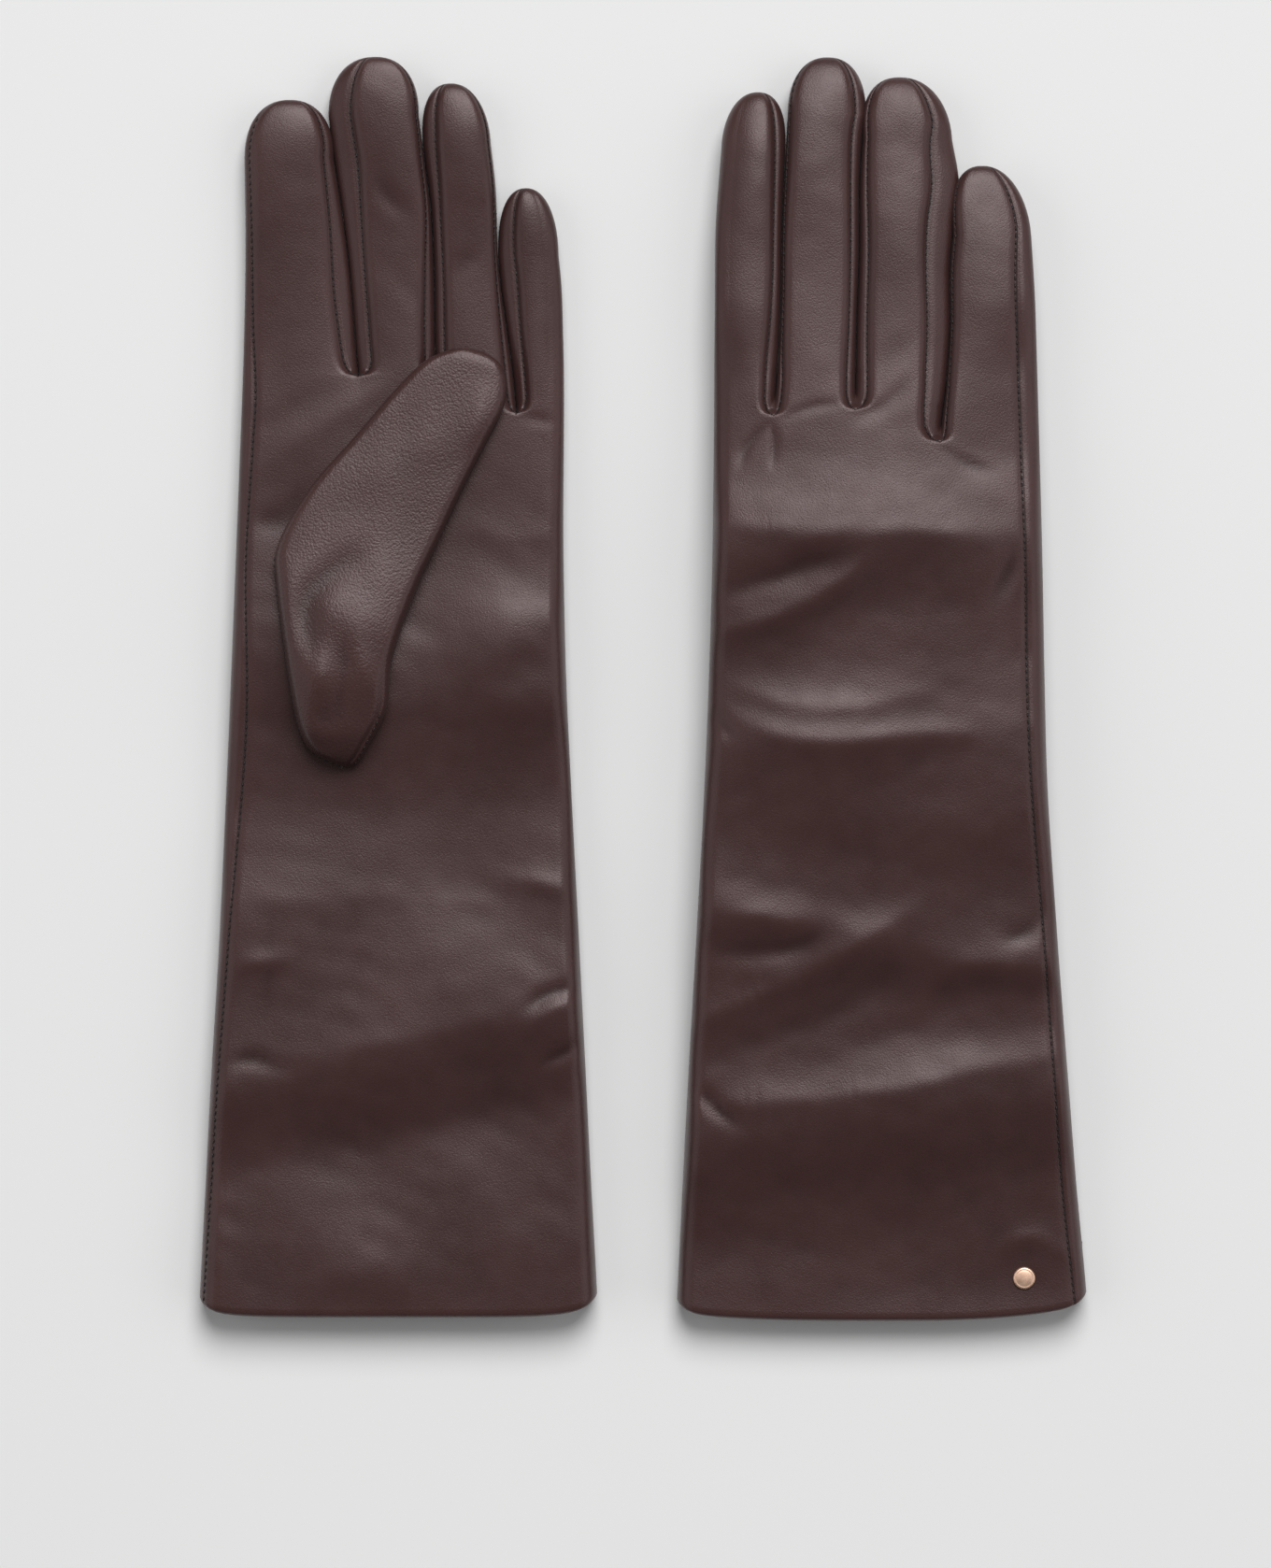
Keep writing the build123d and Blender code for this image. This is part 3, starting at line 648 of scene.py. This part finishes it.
def ribbon_grids(glove, gap, strips, columns):
    """The two fourchettes along a gap and the gusset that joins them in the crotch."""
    open_face = -1 if glove.palm_up else 1
    side = glove.side
    t = spread(columns, RIBBON_CLOSENESS)[None, :]
    low, top = glove.crotches[open_face][gap], glove.crotches[-open_face][gap]
    name = f"{side}_{FINGERS[gap]}_{FINGERS[gap + 1]}_gusset"
    grids, webs = [], []
    for finger, rim in ((gap, 1), (gap + 1, 0)):
        column = -1 if rim == 1 else 0
        grid, y, narrow = strips[open_face, finger]
        opened = grid[:, column]
        deep = strips[-open_face, finger][0][:, column]
        silhouette = glove.sides(finger, y, narrow)[rim]
        line = glove.gap_line(gap, y)
        share = ramp(y, low - 0.1, top + 1) if low < top else np.ones_like(y)
        bulge = line + (silhouette - line) * np.where(y >= top, 1, share)
        curve = ribbon_curve(opened, deep, bulge, t)
        first, start, cut = (nearest(y, mark) for mark in (top, low, glove.plan["splits"][finger]))
        flipped = (open_face < 0) != (rim == 0)
        other = FINGERS[gap + 1 if rim == 1 else gap]
        grids.append((name, curve[first : cut + 1], flipped))
        grids.append((f"{side}_{FINGERS[finger]}_fourchette_by_{other}", curve[cut:], flipped))
        rows = slice(start, first + 1)
        depth = ((y[rows] - low) / (top - low))[:, None]
        part = ribbon_curve(opened[rows], deep[rows], bulge[rows], t * depth)
        # The web sags away from the leather above it, and meets it only in the crotch
        part[..., 2] += open_face * WEB_SAG * depth * (1 - depth) ** 0.2 * t**2
        webs.append((part, line[rows], depth))
    (left, line, depth), (right, _, _) = webs
    pull = t**4 * (1 - depth)
    pull[:, -1] = 1
    centre = np.stack([line, left[:, 0, 1], (left[:, -1, 2] + right[:, -1, 2]) / 2], -1)[:, None]
    left = left + (centre - left) * pull[..., None]
    right = right + (centre - right) * pull[..., None]
    web = np.concatenate([left, right[:, -2::-1]], 1)
    grids.append((name, web, open_face < 0))
    return grids


# ---------------------------------------------------------------- meshes


# How the names of pieces end that are cut from one part of the hide, or from the knit
CUTS = (("palm_panel", "front"), ("back_panel", "back"), ("gusset", *FINGERS), ("outer",), ("inner",),
        ("lining",))


class Skin:
    """Grids merged into one skin, so that pieces cut from it share their edges and shading."""

    def __init__(self, grids):
        points, faces, owner = [], [], []
        names = sorted({name for name, _, _ in grids})
        base = 0
        for name, grid, flipped in grids:
            rows, cols = grid.shape[:2]
            index = base + np.arange(rows * cols).reshape(rows, cols)
            quads = np.stack([index[:-1, :-1], index[:-1, 1:], index[1:, 1:], index[1:, :-1]], -1)
            quads = quads.reshape(-1, 4)
            faces.append(quads[:, ::-1] if flipped else quads)
            owner.append(np.full(len(quads), names.index(name)))
            points.append(grid.reshape(-1, 3))
            base += rows * cols
        points = np.concatenate(points)
        key = np.floor(points / MERGE + 0.137).astype(np.int64)
        _, first, inverse = np.unique(key, axis=0, return_index=True, return_inverse=True)
        self.points = points[first]
        self.faces = inverse.reshape(-1)[np.concatenate(faces)]
        self.owner = np.concatenate(owner)
        self.names = names
        self.normals = self.vertex_normals()
        self.hollow = self.hollowness()
        self.seam = self.seam_points()

    def vertex_normals(self):
        p = self.points[self.faces]
        normal = np.cross(p[:, 2] - p[:, 0], p[:, 3] - p[:, 1])
        total = np.zeros_like(self.points)
        for corner in range(4):
            np.add.at(total, self.faces[:, corner], normal)
        return total / np.maximum(np.linalg.norm(total, axis=1, keepdims=True), 1e-12)

    def seam_points(self):
        """1 at the points where two cut pieces of leather are sewn together, else 0."""
        kinds = [next(i for i, ends in enumerate(CUTS) if name.endswith(ends)) for name in self.names]
        met = np.zeros((len(self.points), len(CUTS)))
        for corner in range(4):
            met[self.faces[:, corner], np.array(kinds)[self.owner]] = 1
        return (met.sum(1) > 1).astype(float)

    def hollowness(self):
        """How far each point sits below its neighbours, in tenths of a millimetre, smoothed twice."""
        total = np.zeros_like(self.points)
        count = np.zeros(len(self.points))
        pairs = [(self.faces[:, a], self.faces[:, (a + 1) % 4]) for a in range(4)]
        for a, b in pairs:
            np.add.at(total, a, self.points[b])
            np.add.at(count, a, 1)
        away = total / np.maximum(count, 1)[:, None] - self.points
        value = np.clip((away * self.normals).sum(1) * 10, -HOLLOW_LIMIT, HOLLOW_LIMIT)
        for _ in range(2):
            blurred = np.zeros(len(value))
            for a, b in pairs:
                np.add.at(blurred, a, value[b])
            value = 0.5 * value + 0.5 * blurred / np.maximum(count, 1)
        return value

    def piece(self, name, near=0.0, thickness=LEATHER):
        """Makes the named piece as a closed layer, its outer face set in by near."""
        faces = self.faces[self.owner == self.names.index(name)]
        used, local = np.unique(faces, return_inverse=True)
        faces = local.reshape(-1, 4)
        normal = self.normals[used]
        outer = self.points[used] - normal * near
        inner = self.points[used] - normal * (near + thickness)
        return layer_mesh(outer, inner, faces, normal, self.points[used], self.hollow[used], self.seam[used])


def tidy_face(face):
    """A quad with repeated corners as the triangle that it is, or None."""
    kept = [v for i, v in enumerate(face) if v != face[i - 1]]
    return kept if len(kept) > 2 and len(set(kept)) == len(kept) else None


def layer_mesh(outer, inner, faces, normal, rest, hollow, seam):
    """A mesh of an outer and an inner skin joined along their rim, with the outer skin's normals."""
    count = len(outer)
    sides = {}
    kept = [f for f in (tidy_face([int(v) for v in face]) for face in faces) if f]
    for face in kept:
        for a, b in zip(face, face[1:] + face[:1]):
            sides[a, b] = sides.get((a, b), 0) + 1
    rim = [(a, b) for (a, b) in sides if (b, a) not in sides]
    polygons = kept + [[v + count for v in reversed(face)] for face in kept]
    polygons += [[b, a, a + count, b + count] for a, b in rim]
    mesh = bpy.data.meshes.new("layer")
    mesh.from_pydata((np.concatenate([outer, inner]) * MM).tolist(), [], polygons)
    mesh.polygons.foreach_set("use_smooth", np.ones(len(polygons), bool))
    vertex = np.zeros(len(mesh.loops), int)
    mesh.loops.foreach_get("vertex_index", vertex)
    loops = np.concatenate([normal, -normal])[vertex]
    total = sum(len(p) for p in polygons) - 4 * len(rim)
    flat = np.zeros(len(mesh.polygons) * 3)
    mesh.polygons.foreach_get("normal", flat)
    loops[total:] = np.repeat(flat.reshape(-1, 3)[len(polygons) - len(rim):], 4, 0)
    mesh.normals_split_custom_set([tuple(v) for v in loops])
    store(mesh, "rest", "FLOAT_VECTOR", np.concatenate([rest, rest]) * MM)
    store(mesh, "hollow", "FLOAT", np.concatenate([hollow, hollow]))
    store(mesh, "seam", "FLOAT", np.concatenate([seam, seam]))
    return mesh


def store(mesh, name, kind, values):
    """Writes one value to each vertex under a name that the materials read."""
    attribute = mesh.attributes.new(name, kind, "POINT")
    key = "vector" if kind == "FLOAT_VECTOR" else "value"
    attribute.data.foreach_set(key, np.asarray(values, np.float32).ravel())


def show(mesh, name, material):
    """Puts a mesh in the scene as a named piece."""
    mesh.name = name
    piece = bpy.data.objects.new(name, mesh)
    bpy.context.scene.collection.objects.link(piece)
    mesh.materials.append(material)
    return piece


def ring_faces(rings, sides):
    """Faces between neighbouring rings of points, where a ring may be a single point."""
    faces = []
    for a, b in zip(rings, rings[1:]):
        for k in range(sides):
            j = (k + 1) % sides
            corners = [a[k % len(a)], b[k % len(b)], b[j % len(b)], a[j % len(a)]]
            faces.append(list(dict.fromkeys(corners)))
    return faces


def stitch_mesh(runs):
    """Thread stitches along runs of (points, normals): short round-ended pills, slightly sunk."""
    angle = np.linspace(0, 2 * math.pi, STITCH_SIDES, endpoint=False)
    vertices, faces, rest = [], [], []
    for points, normals in runs:
        steps = np.linalg.norm(np.diff(points, axis=0), axis=1)
        travel = np.concatenate([[0], np.cumsum(steps)])
        for place in np.arange(STITCH_PITCH / 2, travel[-1], STITCH_PITCH):
            at = [np.array([np.interp(p, travel, v[:, i]) for i in range(3)])
                  for p, v in ((place, points), (place + 0.2, points), (place, normals))]
            along = at[1] - at[0]
            along /= max(np.linalg.norm(along), 1e-9)
            up = at[2] - along * at[2].dot(along)
            up /= max(np.linalg.norm(up), 1e-9)
            across = np.cross(along, up)
            centre = at[0] + up * STITCH_RADIUS * STITCH_LIFT
            rings = []
            for end, size in STITCH_PROFILE:
                ring = [0.0] if size == 0 else angle
                rings.append(range(len(vertices), len(vertices) + len(ring)))
                for a in ring:
                    offset = (across * math.cos(a) + up * math.sin(a)) * size * STITCH_RADIUS
                    vertices.append(centre + along * end * STITCH_LENGTH + offset)
                    rest.append(vertices[-1])
            faces += ring_faces(rings, STITCH_SIDES)
    mesh = bpy.data.meshes.new("stitches")
    mesh.from_pydata((np.array(vertices) * MM).tolist(), [], faces)
    mesh.polygons.foreach_set("use_smooth", np.ones(len(faces), bool))
    store(mesh, "rest", "FLOAT_VECTOR", np.array(rest) * MM)
    return mesh


# ---------------------------------------------------------------- materials


class Nodes:
    """Short calls for building one material's node tree."""

    def __init__(self, name):
        self.material = bpy.data.materials.new(name)
        self.material.use_nodes = True
        self.tree = self.material.node_tree
        self.shader = self.tree.nodes["Principled BSDF"]

    def add(self, kind, **values):
        node = self.tree.nodes.new(kind)
        for key, value in values.items():
            if hasattr(node, key):
                setattr(node, key, value)
            else:
                node.inputs[key.replace("_", " ")].default_value = value
        return node

    def link(self, output, target):
        self.tree.links.new(output, target)

    def texture(self, kind, place, **values):
        node = self.add(f"ShaderNodeTex{kind}", **values)
        self.link(place, node.inputs["Vector"])
        return node

    def attribute(self, name):
        return self.add("ShaderNodeAttribute", attribute_name=name)

    def math(self, operation, *values):
        node = self.add("ShaderNodeMath", operation=operation)
        for socket, value in zip(node.inputs, values):
            if isinstance(value, (int, float)):
                socket.default_value = value
            else:
                self.link(value, socket)
        return node.outputs[0]

    def ramp(self, factor, stops):
        node = self.add("ShaderNodeValToRGB")
        elements = node.color_ramp.elements
        while len(elements) < len(stops):
            elements.new(0.5)
        for element, (position, colour) in zip(elements, stops):
            element.position = position
            element.color = (*colour, 1)
        self.link(factor, node.inputs["Fac"])
        return node.outputs["Color"]

    def multiply(self, colour, layer):
        node = self.add("ShaderNodeMix", data_type="RGBA", blend_type="MULTIPLY")
        node.inputs["Factor"].default_value = 1.0
        self.link(colour, node.inputs["A"])
        self.link(layer, node.inputs["B"])
        return node.outputs["Result"]

    def bump(self, height, strength, distance, after=None):
        node = self.add("ShaderNodeBump", Strength=strength, Distance=distance)
        self.link(height, node.inputs["Height"])
        if after is not None:
            self.link(after, node.inputs["Normal"])
        return node.outputs["Normal"]


def leather_material(name, grain_size, grain_height, tone):
    """Dyed nappa: pebbled grain, hair-fine creases, uneven dye, painted shade in hollows and along seams, and
    lighter ridges.
    """
    n = Nodes(name)
    rest = n.attribute("rest").outputs["Vector"]
    hollow = n.attribute("hollow").outputs["Fac"]

    wobble = n.texture("Noise", rest, Scale=900.0, Detail=2.0)
    shifted = n.add("ShaderNodeVectorMath", operation="MULTIPLY_ADD")
    n.link(wobble.outputs["Color"], shifted.inputs[0])
    shifted.inputs[1].default_value = (0.0005, 0.0005, 0.0005)
    n.link(rest, shifted.inputs[2])

    near = shifted.outputs[0]
    pebble = n.texture("Voronoi", near, feature="SMOOTH_F1", Scale=1 / grain_size, Smoothness=0.6)
    crease = n.texture("Voronoi", near, feature="DISTANCE_TO_EDGE", Scale=0.45 / grain_size)
    crease_line = n.ramp(crease.outputs["Distance"], ((0.0, (0, 0, 0)), (0.12, (1, 1, 1))))
    soft = n.texture("Noise", rest, Scale=160.0, Detail=4.0, Roughness=0.6)
    patch = n.texture("Noise", rest, Scale=34.0, Detail=3.0, Roughness=0.55)
    pore = n.texture("Noise", rest, Scale=2600.0, Detail=1.0)

    dark, mid, light = tone
    dye = n.ramp(patch.outputs["Fac"], ((0.3, dark), (0.5, mid), (0.72, light)))
    # Painted shade: darker in the hollows of the skin, and a little lighter on its ridges
    hollow_shade_stops = ((0.0, (1.12,) * 3), (0.5, (1, 1, 1)), (1.0, (0.45, 0.4, 0.4)))
    hollow_shade = n.ramp(n.math("MULTIPLY_ADD", hollow, 0.5, 0.5), hollow_shade_stops)
    fleck = n.ramp(pebble.outputs["Distance"], ((0.0, (1.06,) * 3), (0.9, (0.86, 0.85, 0.85))))
    seam = n.attribute("seam").outputs["Fac"]
    # Painted shade along the seams' grooves; the same line also sinks the groove in the bump
    seam_groove_and_shade = n.ramp(seam, ((0.45, (1, 1, 1)), (0.9, (0.42, 0.38, 0.38))))
    colour = dye
    for layer in (hollow_shade, fleck, seam_groove_and_shade):
        colour = n.multiply(colour, layer)
    n.link(colour, n.shader.inputs["Base Color"])

    gloss = n.ramp(soft.outputs["Fac"], ((0.25, (0.35,) * 3), (0.75, (0.43,) * 3)))
    n.link(gloss, n.shader.inputs["Roughness"])
    n.shader.inputs["Specular IOR Level"].default_value = 0.5
    n.shader.inputs["Specular Tint"].default_value = (1.0, 0.86, 0.86, 1)
    n.shader.inputs["Sheen Weight"].default_value = 0.02
    n.shader.inputs["Sheen Roughness"].default_value = 0.5

    grain = n.math("MULTIPLY", pebble.outputs["Distance"], -1.0)
    normal = n.bump(soft.outputs["Fac"], 0.2, 0.00012)
    normal = n.bump(crease_line, 0.3, grain_height * 0.5, normal)
    normal = n.bump(grain, 1.0, grain_height, normal)
    normal = n.bump(pore.outputs["Fac"], 0.4, grain_height * 0.25, normal)
    normal = n.bump(seam_groove_and_shade, 0.7, 0.0003, normal)
    n.link(normal, n.shader.inputs["Normal"])
    return n.material


def knit_material():
    """Fine jersey knit: rows of small loops in a warm dark brown."""
    n = Nodes("jersey_knit")
    rest = n.attribute("rest").outputs["Vector"]
    wale = n.texture("Wave", rest, bands_direction="X", Scale=210.0, Distortion=0.6)
    course = n.texture("Wave", rest, bands_direction="Y", Scale=260.0, Distortion=1.2)
    fuzz = n.texture("Noise", rest, Scale=1400.0, Detail=3.0)
    loops = n.math("MULTIPLY", wale.outputs["Fac"], course.outputs["Fac"])
    height = n.math("ADD", loops, n.math("MULTIPLY", fuzz.outputs["Fac"], 0.35))
    dark, mid, light = (0.018, 0.010, 0.009), (0.055, 0.032, 0.028), (0.09, 0.055, 0.048)
    colour = n.ramp(height, ((0.1, dark), (0.6, mid), (1.1, light)))
    n.link(colour, n.shader.inputs["Base Color"])
    n.shader.inputs["Roughness"].default_value = 0.9
    n.shader.inputs["Sheen Weight"].default_value = 0.35
    n.link(n.bump(height, 0.9, 0.0003), n.shader.inputs["Normal"])
    return n.material


def thread_material():
    """Twisted polyester thread, a little darker than the leather."""
    n = Nodes("seam_thread")
    rest = n.attribute("rest").outputs["Vector"]
    twist = n.texture("Wave", rest, bands_direction="DIAGONAL", Scale=900.0, Distortion=1.0)
    colour = n.ramp(twist.outputs["Fac"], ((0.2, (0.005, 0.003, 0.003)), (0.8, (0.016, 0.009, 0.008))))
    n.link(colour, n.shader.inputs["Base Color"])
    n.shader.inputs["Roughness"].default_value = 0.55
    n.link(n.bump(twist.outputs["Fac"], 0.8, 0.00008), n.shader.inputs["Normal"])
    return n.material


def metal_material():
    """Rose gold plate with a fine brushed and slightly handled surface."""
    n = Nodes("rose_gold_plate")
    place = n.add("ShaderNodeTexCoord").outputs["Object"]
    smudge = n.texture("Noise", place, Scale=420.0, Detail=4.0)
    scratch = n.texture("Noise", place, Scale=2500.0, Detail=2.0)
    colour = n.ramp(smudge.outputs["Fac"], ((0.3, (0.90, 0.58, 0.42)), (0.7, (0.96, 0.66, 0.50))))
    n.link(colour, n.shader.inputs["Base Color"])
    n.shader.inputs["Metallic"].default_value = 1.0
    gloss = n.ramp(smudge.outputs["Fac"], ((0.3, (0.38,) * 3), (0.7, (0.48,) * 3)))
    n.link(gloss, n.shader.inputs["Roughness"])
    n.link(n.bump(scratch.outputs["Fac"], 0.15, 0.00002), n.shader.inputs["Normal"])
    return n.material


TONE = ((0.037, 0.0152, 0.0136), (0.042, 0.0178, 0.0162), (0.048, 0.0210, 0.0192))
NAPPA = leather_material("brown_nappa", 0.00042, 0.000036, TONE)
GRAINED = leather_material("brown_nappa_grained", 0.0006, 0.000065, TONE)
KNIT = knit_material()
THREAD = thread_material()
ROSE_GOLD = metal_material()


# ---------------------------------------------------------------- pieces


def attach(piece, glove, finger):
    """A hand's piece rides the hand; a finger's piece has its placement baked into its mesh."""
    if finger is None:
        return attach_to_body(piece, f"{glove.side}_hand")
    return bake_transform(piece)


def finger_of(name):
    """Which finger a piece belongs to, or None for the hand's own."""
    parts = name.split("_")[1:]
    if parts[0] in FINGERS and parts[-1] != "gusset":
        return FINGERS.index(parts[0])
    return None


def build_leather(glove, skin):
    """The panels, strips, fourchettes and gussets, each in the place of its plain solid."""
    for name in skin.names:
        piece = show(skin.piece(name), f"{name}_leather", NAPPA)
        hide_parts(name)
        attach(piece, glove, finger_of(name))


def build_lining(glove):
    """The knit lining, one shell for the hand and one for each finger."""
    side = glove.side
    grids = []
    low = glove.cuff + HEM_LENGTH - LINING_LAP
    for name, grid, flipped in glove_grids(glove, *LINING_COLUMNS, hem=False):
        finger = finger_of(name)
        owner = f"{side}_hand" if finger is None else f"{side}_{FINGERS[finger]}"
        inside = grid[:, :, 1].max(1) > low
        grids.append((f"{owner}_lining", grid[inside], flipped))
    lining = Skin(grids)
    for name in lining.names:
        piece = show(lining.piece(name, LINING_DEPTH, LINING), f"{name}_knit", KNIT)
        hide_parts(name)
        attach(piece, glove, finger_of(name))


def seam_runs(glove):
    """Runs of seam line on both faces, by finger, or None for the hand's own."""
    runs = {None: [], 0: [], 1: [], 2: [], 3: []}
    for finger in range(4):
        y, narrow = glove.rows(finger)
        cut = nearest(y, glove.plan["splits"][finger])
        top = len(y) - TIP_ROWS // 2
        for face in (1, -1):
            for side, x in enumerate(glove.seams(face, finger, y, narrow)):
                gap = finger - 1 + side
                outer = not 0 <= gap <= 2
                if outer and (face, side) not in glove.wraps:
                    continue
                points = glove.point(face, finger, x, y, narrow)
                normals = np.tile([0.0, 0.0, float(face)], (len(points), 1))
                low = 0 if outer else nearest(y, glove.crotches[face][gap])
                runs[finger].append((points[cut:top], normals[cut:top]))
                runs[None].append((points[low : cut + 1], normals[low : cut + 1]))
    return runs


def build_stitches(glove):
    for finger, runs in seam_runs(glove).items():
        owner = "hand" if finger is None else FINGERS[finger]
        piece = show(stitch_mesh(runs), f"{glove.side}_{owner}_stitches", THREAD)
        attach(piece, glove, finger)


# ---------------------------------------------------------------- thumb


def thumb_grids():
    """The left thumb's upper and lower face over the palm, as height above its underside."""
    share = np.linspace(0, 1, len(THUMB_EDGES))
    curves = [smooth(list(zip(share, [pair[side][axis] for pair in THUMB_EDGES])))
              for side in (0, 1) for axis in (0, 1)]
    v = spread(THUMB_ROWS, THUMB_CLOSENESS)
    left_x, left_y, right_x, right_y = [curve(v)[:, None] for curve in curves]
    u = spread(THUMB_COLUMNS, 1)[None, :]
    x, y = left_x * (1 - u) + right_x * u, left_y * (1 - u) + right_y * u
    width = np.hypot(right_x - left_x, right_y - left_y)
    ends = quarter_round(v[:, None], HEEL_ROUND) * quarter_round(1 - v[:, None], THUMB_TIP_ROUND)
    left_rim, right_rim = THUMB_RIMS
    rim = quarter_round(u * width, left_rim, RIM_POWER)
    rim = rim * quarter_round((1 - u) * width, right_rim, RIM_POWER)
    # The heel lies in the palm's seam, so that edge is low and the free edges ride higher
    attached = (1 - ramp(v, *EDGE_FREE))[:, None] * (1 - u)
    rise = THUMB_THICKNESS * (0.66 + 0.34 * ramp(v, *HEEL_RISE) - 0.42 * ramp(v, *TIP_DROP))[:, None]
    edge_level = rise * (0.40 - 0.32 * attached)
    body = rise * (1 - 0.10 * np.abs(2 * u - 1) ** 2)
    relief = fold_field(THUMB_FOLDS)(x, y) + THUMB_RELIEF * waves(5, 10, 30)(x, y)
    welt_depth, welt_place, welt_width = WELT
    welt = (1 - ramp(v, *WELT_FADE))[:, None]
    off = ((1 - u) * width - welt_place) / welt_width
    crown = rim * ends
    upper = edge_level + (body - edge_level) * crown + relief * crown**2
    upper = upper - welt_depth * welt * np.exp(-(off**2)) * crown
    lower = edge_level * (1 - crown)
    return np.stack([x, y, upper], -1), np.stack([x, y, lower], -1)


def place_thumb(glove, grid):
    """Moves a grid of the left thumb onto a glove's own palm, above or below it."""
    turn = math.radians(glove.plan["thumb_turn"])
    base_x, base_y = glove.plan["thumb_base"]
    x, y = grid[..., 0] - LEFT["thumb_base"][0], grid[..., 1] - LEFT["thumb_base"][1]
    across = base_x + x * math.cos(turn) - y * math.sin(turn)
    along = base_y + x * math.sin(turn) + y * math.cos(turn)
    if glove.palm_up:
        palm = glove.floor(along) + glove.thickness(along) + glove.swell(along)
        level = palm + THUMB_CLEAR[0] + grid[..., 2]
    else:
        level = glove.floor(along) - THUMB_CLEAR[1] - grid[..., 2] * PRESSED
    return np.stack([across, along, level], -1)


def build_thumb(glove):
    """Outer and inner thumb leather, lining and stitches, each with its placement baked into its mesh."""
    side = glove.side
    upper, lower = thumb_grids()
    up = glove.palm_up
    grids = [(f"{side}_thumb_outer", place_thumb(glove, upper), not up),
             (f"{side}_thumb_inner", place_thumb(glove, lower), up)]
    skin = Skin(grids)
    lining = Skin([(f"{side}_thumb_lining", grid[::2, ::2], flipped) for _, grid, flipped in grids])
    pieces = [show(skin.piece(name), f"{name}_leather", GRAINED) for name in skin.names]
    for name, piece in zip(skin.names, pieces):
        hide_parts(name)
    knit = show(lining.piece(f"{side}_thumb_lining", LINING_DEPTH, LINING), f"{side}_thumb_lining_knit",
                KNIT)
    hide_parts(f"{side}_thumb_lining")
    placed = grids[0][1]
    edge = placed[2 : THUMB_ROWS // 2, 1]
    inside = placed[3 : int(THUMB_ROWS * 0.3), -6]
    facing = [0.0, 0.0, 1.0 if up else -1.0]
    runs = [(run, np.tile(facing, (len(run), 1))) for run in (edge, inside)]
    stitches = show(stitch_mesh(runs), f"{side}_thumb_stitches", THREAD)
    for piece in (*pieces, knit, stitches):
        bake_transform(piece)


# ---------------------------------------------------------------- stud


def turned(profile, name, material):
    """A turned solid from (radius, height) points, in millimetres, about +Z."""
    angle = np.linspace(0, 2 * math.pi, STUD_SIDES, endpoint=False)
    vertices, rings = [], []
    for radius, height in profile:
        ring = [0.0] if radius == 0 else angle
        rings.append(range(len(vertices), len(vertices) + len(ring)))
        vertices += [(radius * math.cos(a), radius * math.sin(a), height) for a in ring]
    mesh = bpy.data.meshes.new(name)
    mesh.from_pydata((np.array(vertices) * MM).tolist(), [], ring_faces(rings, STUD_SIDES))
    mesh.polygons.foreach_set("use_smooth", np.ones(len(mesh.polygons), bool))
    return show(mesh, name, material)


def build_stud(glove):
    """The domed cap with a raised rim on the back of the cuff, and its plate inside the hem."""
    side = glove.side
    x, y = glove.plan["stud"]
    face = -1 if glove.palm_up else 1
    level = glove.point(face, 3, np.array([x]), np.array([y]), np.array([1.0]))[0, 2]
    rise = FLAT_DOME if glove.palm_up else DOME
    dome = [(STUD_RADIUS * share, rise * height) for share, height in DOME_PROFILE] + STUD_SHANK
    for profile, name, node in ((dome, "stud_dome", "stud_cap"), (STUD_PLATE, "stud_back", "stud_plate")):
        piece = turned(profile, f"{side}_{name}", ROSE_GOLD)
        flip = Matrix.Rotation(math.pi if face < 0 else 0, 4, "X")
        piece.data.transform(Matrix.Translation(Vector((x, y, level)) * MM) @ flip)
        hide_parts(f"{side}_{node}")
        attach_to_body(piece, f"{side}_hand")


# ---------------------------------------------------------------- stage


def build_stage():
    """Pale floor, soft overhead light and a camera that looks straight down."""
    bpy.ops.mesh.primitive_plane_add(size=6, location=(0, 0, 0))
    floor = bpy.context.object
    floor.name = "floor"
    n = Nodes("pale_paper")
    n.shader.inputs["Base Color"].default_value = (FLOOR_TONE, FLOOR_TONE, FLOOR_TONE, 1)
    n.shader.inputs["Roughness"].default_value = 0.9
    n.shader.inputs["Specular IOR Level"].default_value = 0.1
    floor.data.materials.append(n.material)

    camera = bpy.data.cameras.new("camera")
    camera.sensor_width = 36
    camera.lens = camera.sensor_width * CAMERA_DISTANCE / FRAME_HEIGHT
    view = bpy.data.objects.new("camera", camera)
    view.location = Vector(CAMERA_AIM) * MM + Vector((0, 0, CAMERA_DISTANCE))
    bpy.context.scene.collection.objects.link(view)
    bpy.context.scene.camera = view

    for name, place, size, power in LIGHTS:
        lamp = bpy.data.lights.new(name, "AREA")
        lamp.shape = "DISK"
        lamp.size = size
        lamp.energy = power
        light = bpy.data.objects.new(name, lamp)
        light.location = place
        light.rotation_euler = (-Vector(place)).to_track_quat("-Z", "Y").to_euler()
        bpy.context.scene.collection.objects.link(light)

    world = bpy.data.worlds.new("studio")
    world.use_nodes = True
    world.node_tree.nodes["Background"].inputs["Color"].default_value = (1, 1, 1, 1)
    world.node_tree.nodes["Background"].inputs["Strength"].default_value = WORLD_LIGHT
    bpy.context.scene.world = world
    bpy.context.scene.view_settings.view_transform = "Standard"


for plan in (LEFT, RIGHT):
    glove = Glove(plan)
    skin = Skin(glove_grids(glove, TOP_COLUMNS, EDGE_COLUMNS, RIBBON_COLUMNS))
    build_leather(glove, skin)
    build_lining(glove)
    build_stitches(glove)
    build_thumb(glove)
    build_stud(glove)
build_stage()
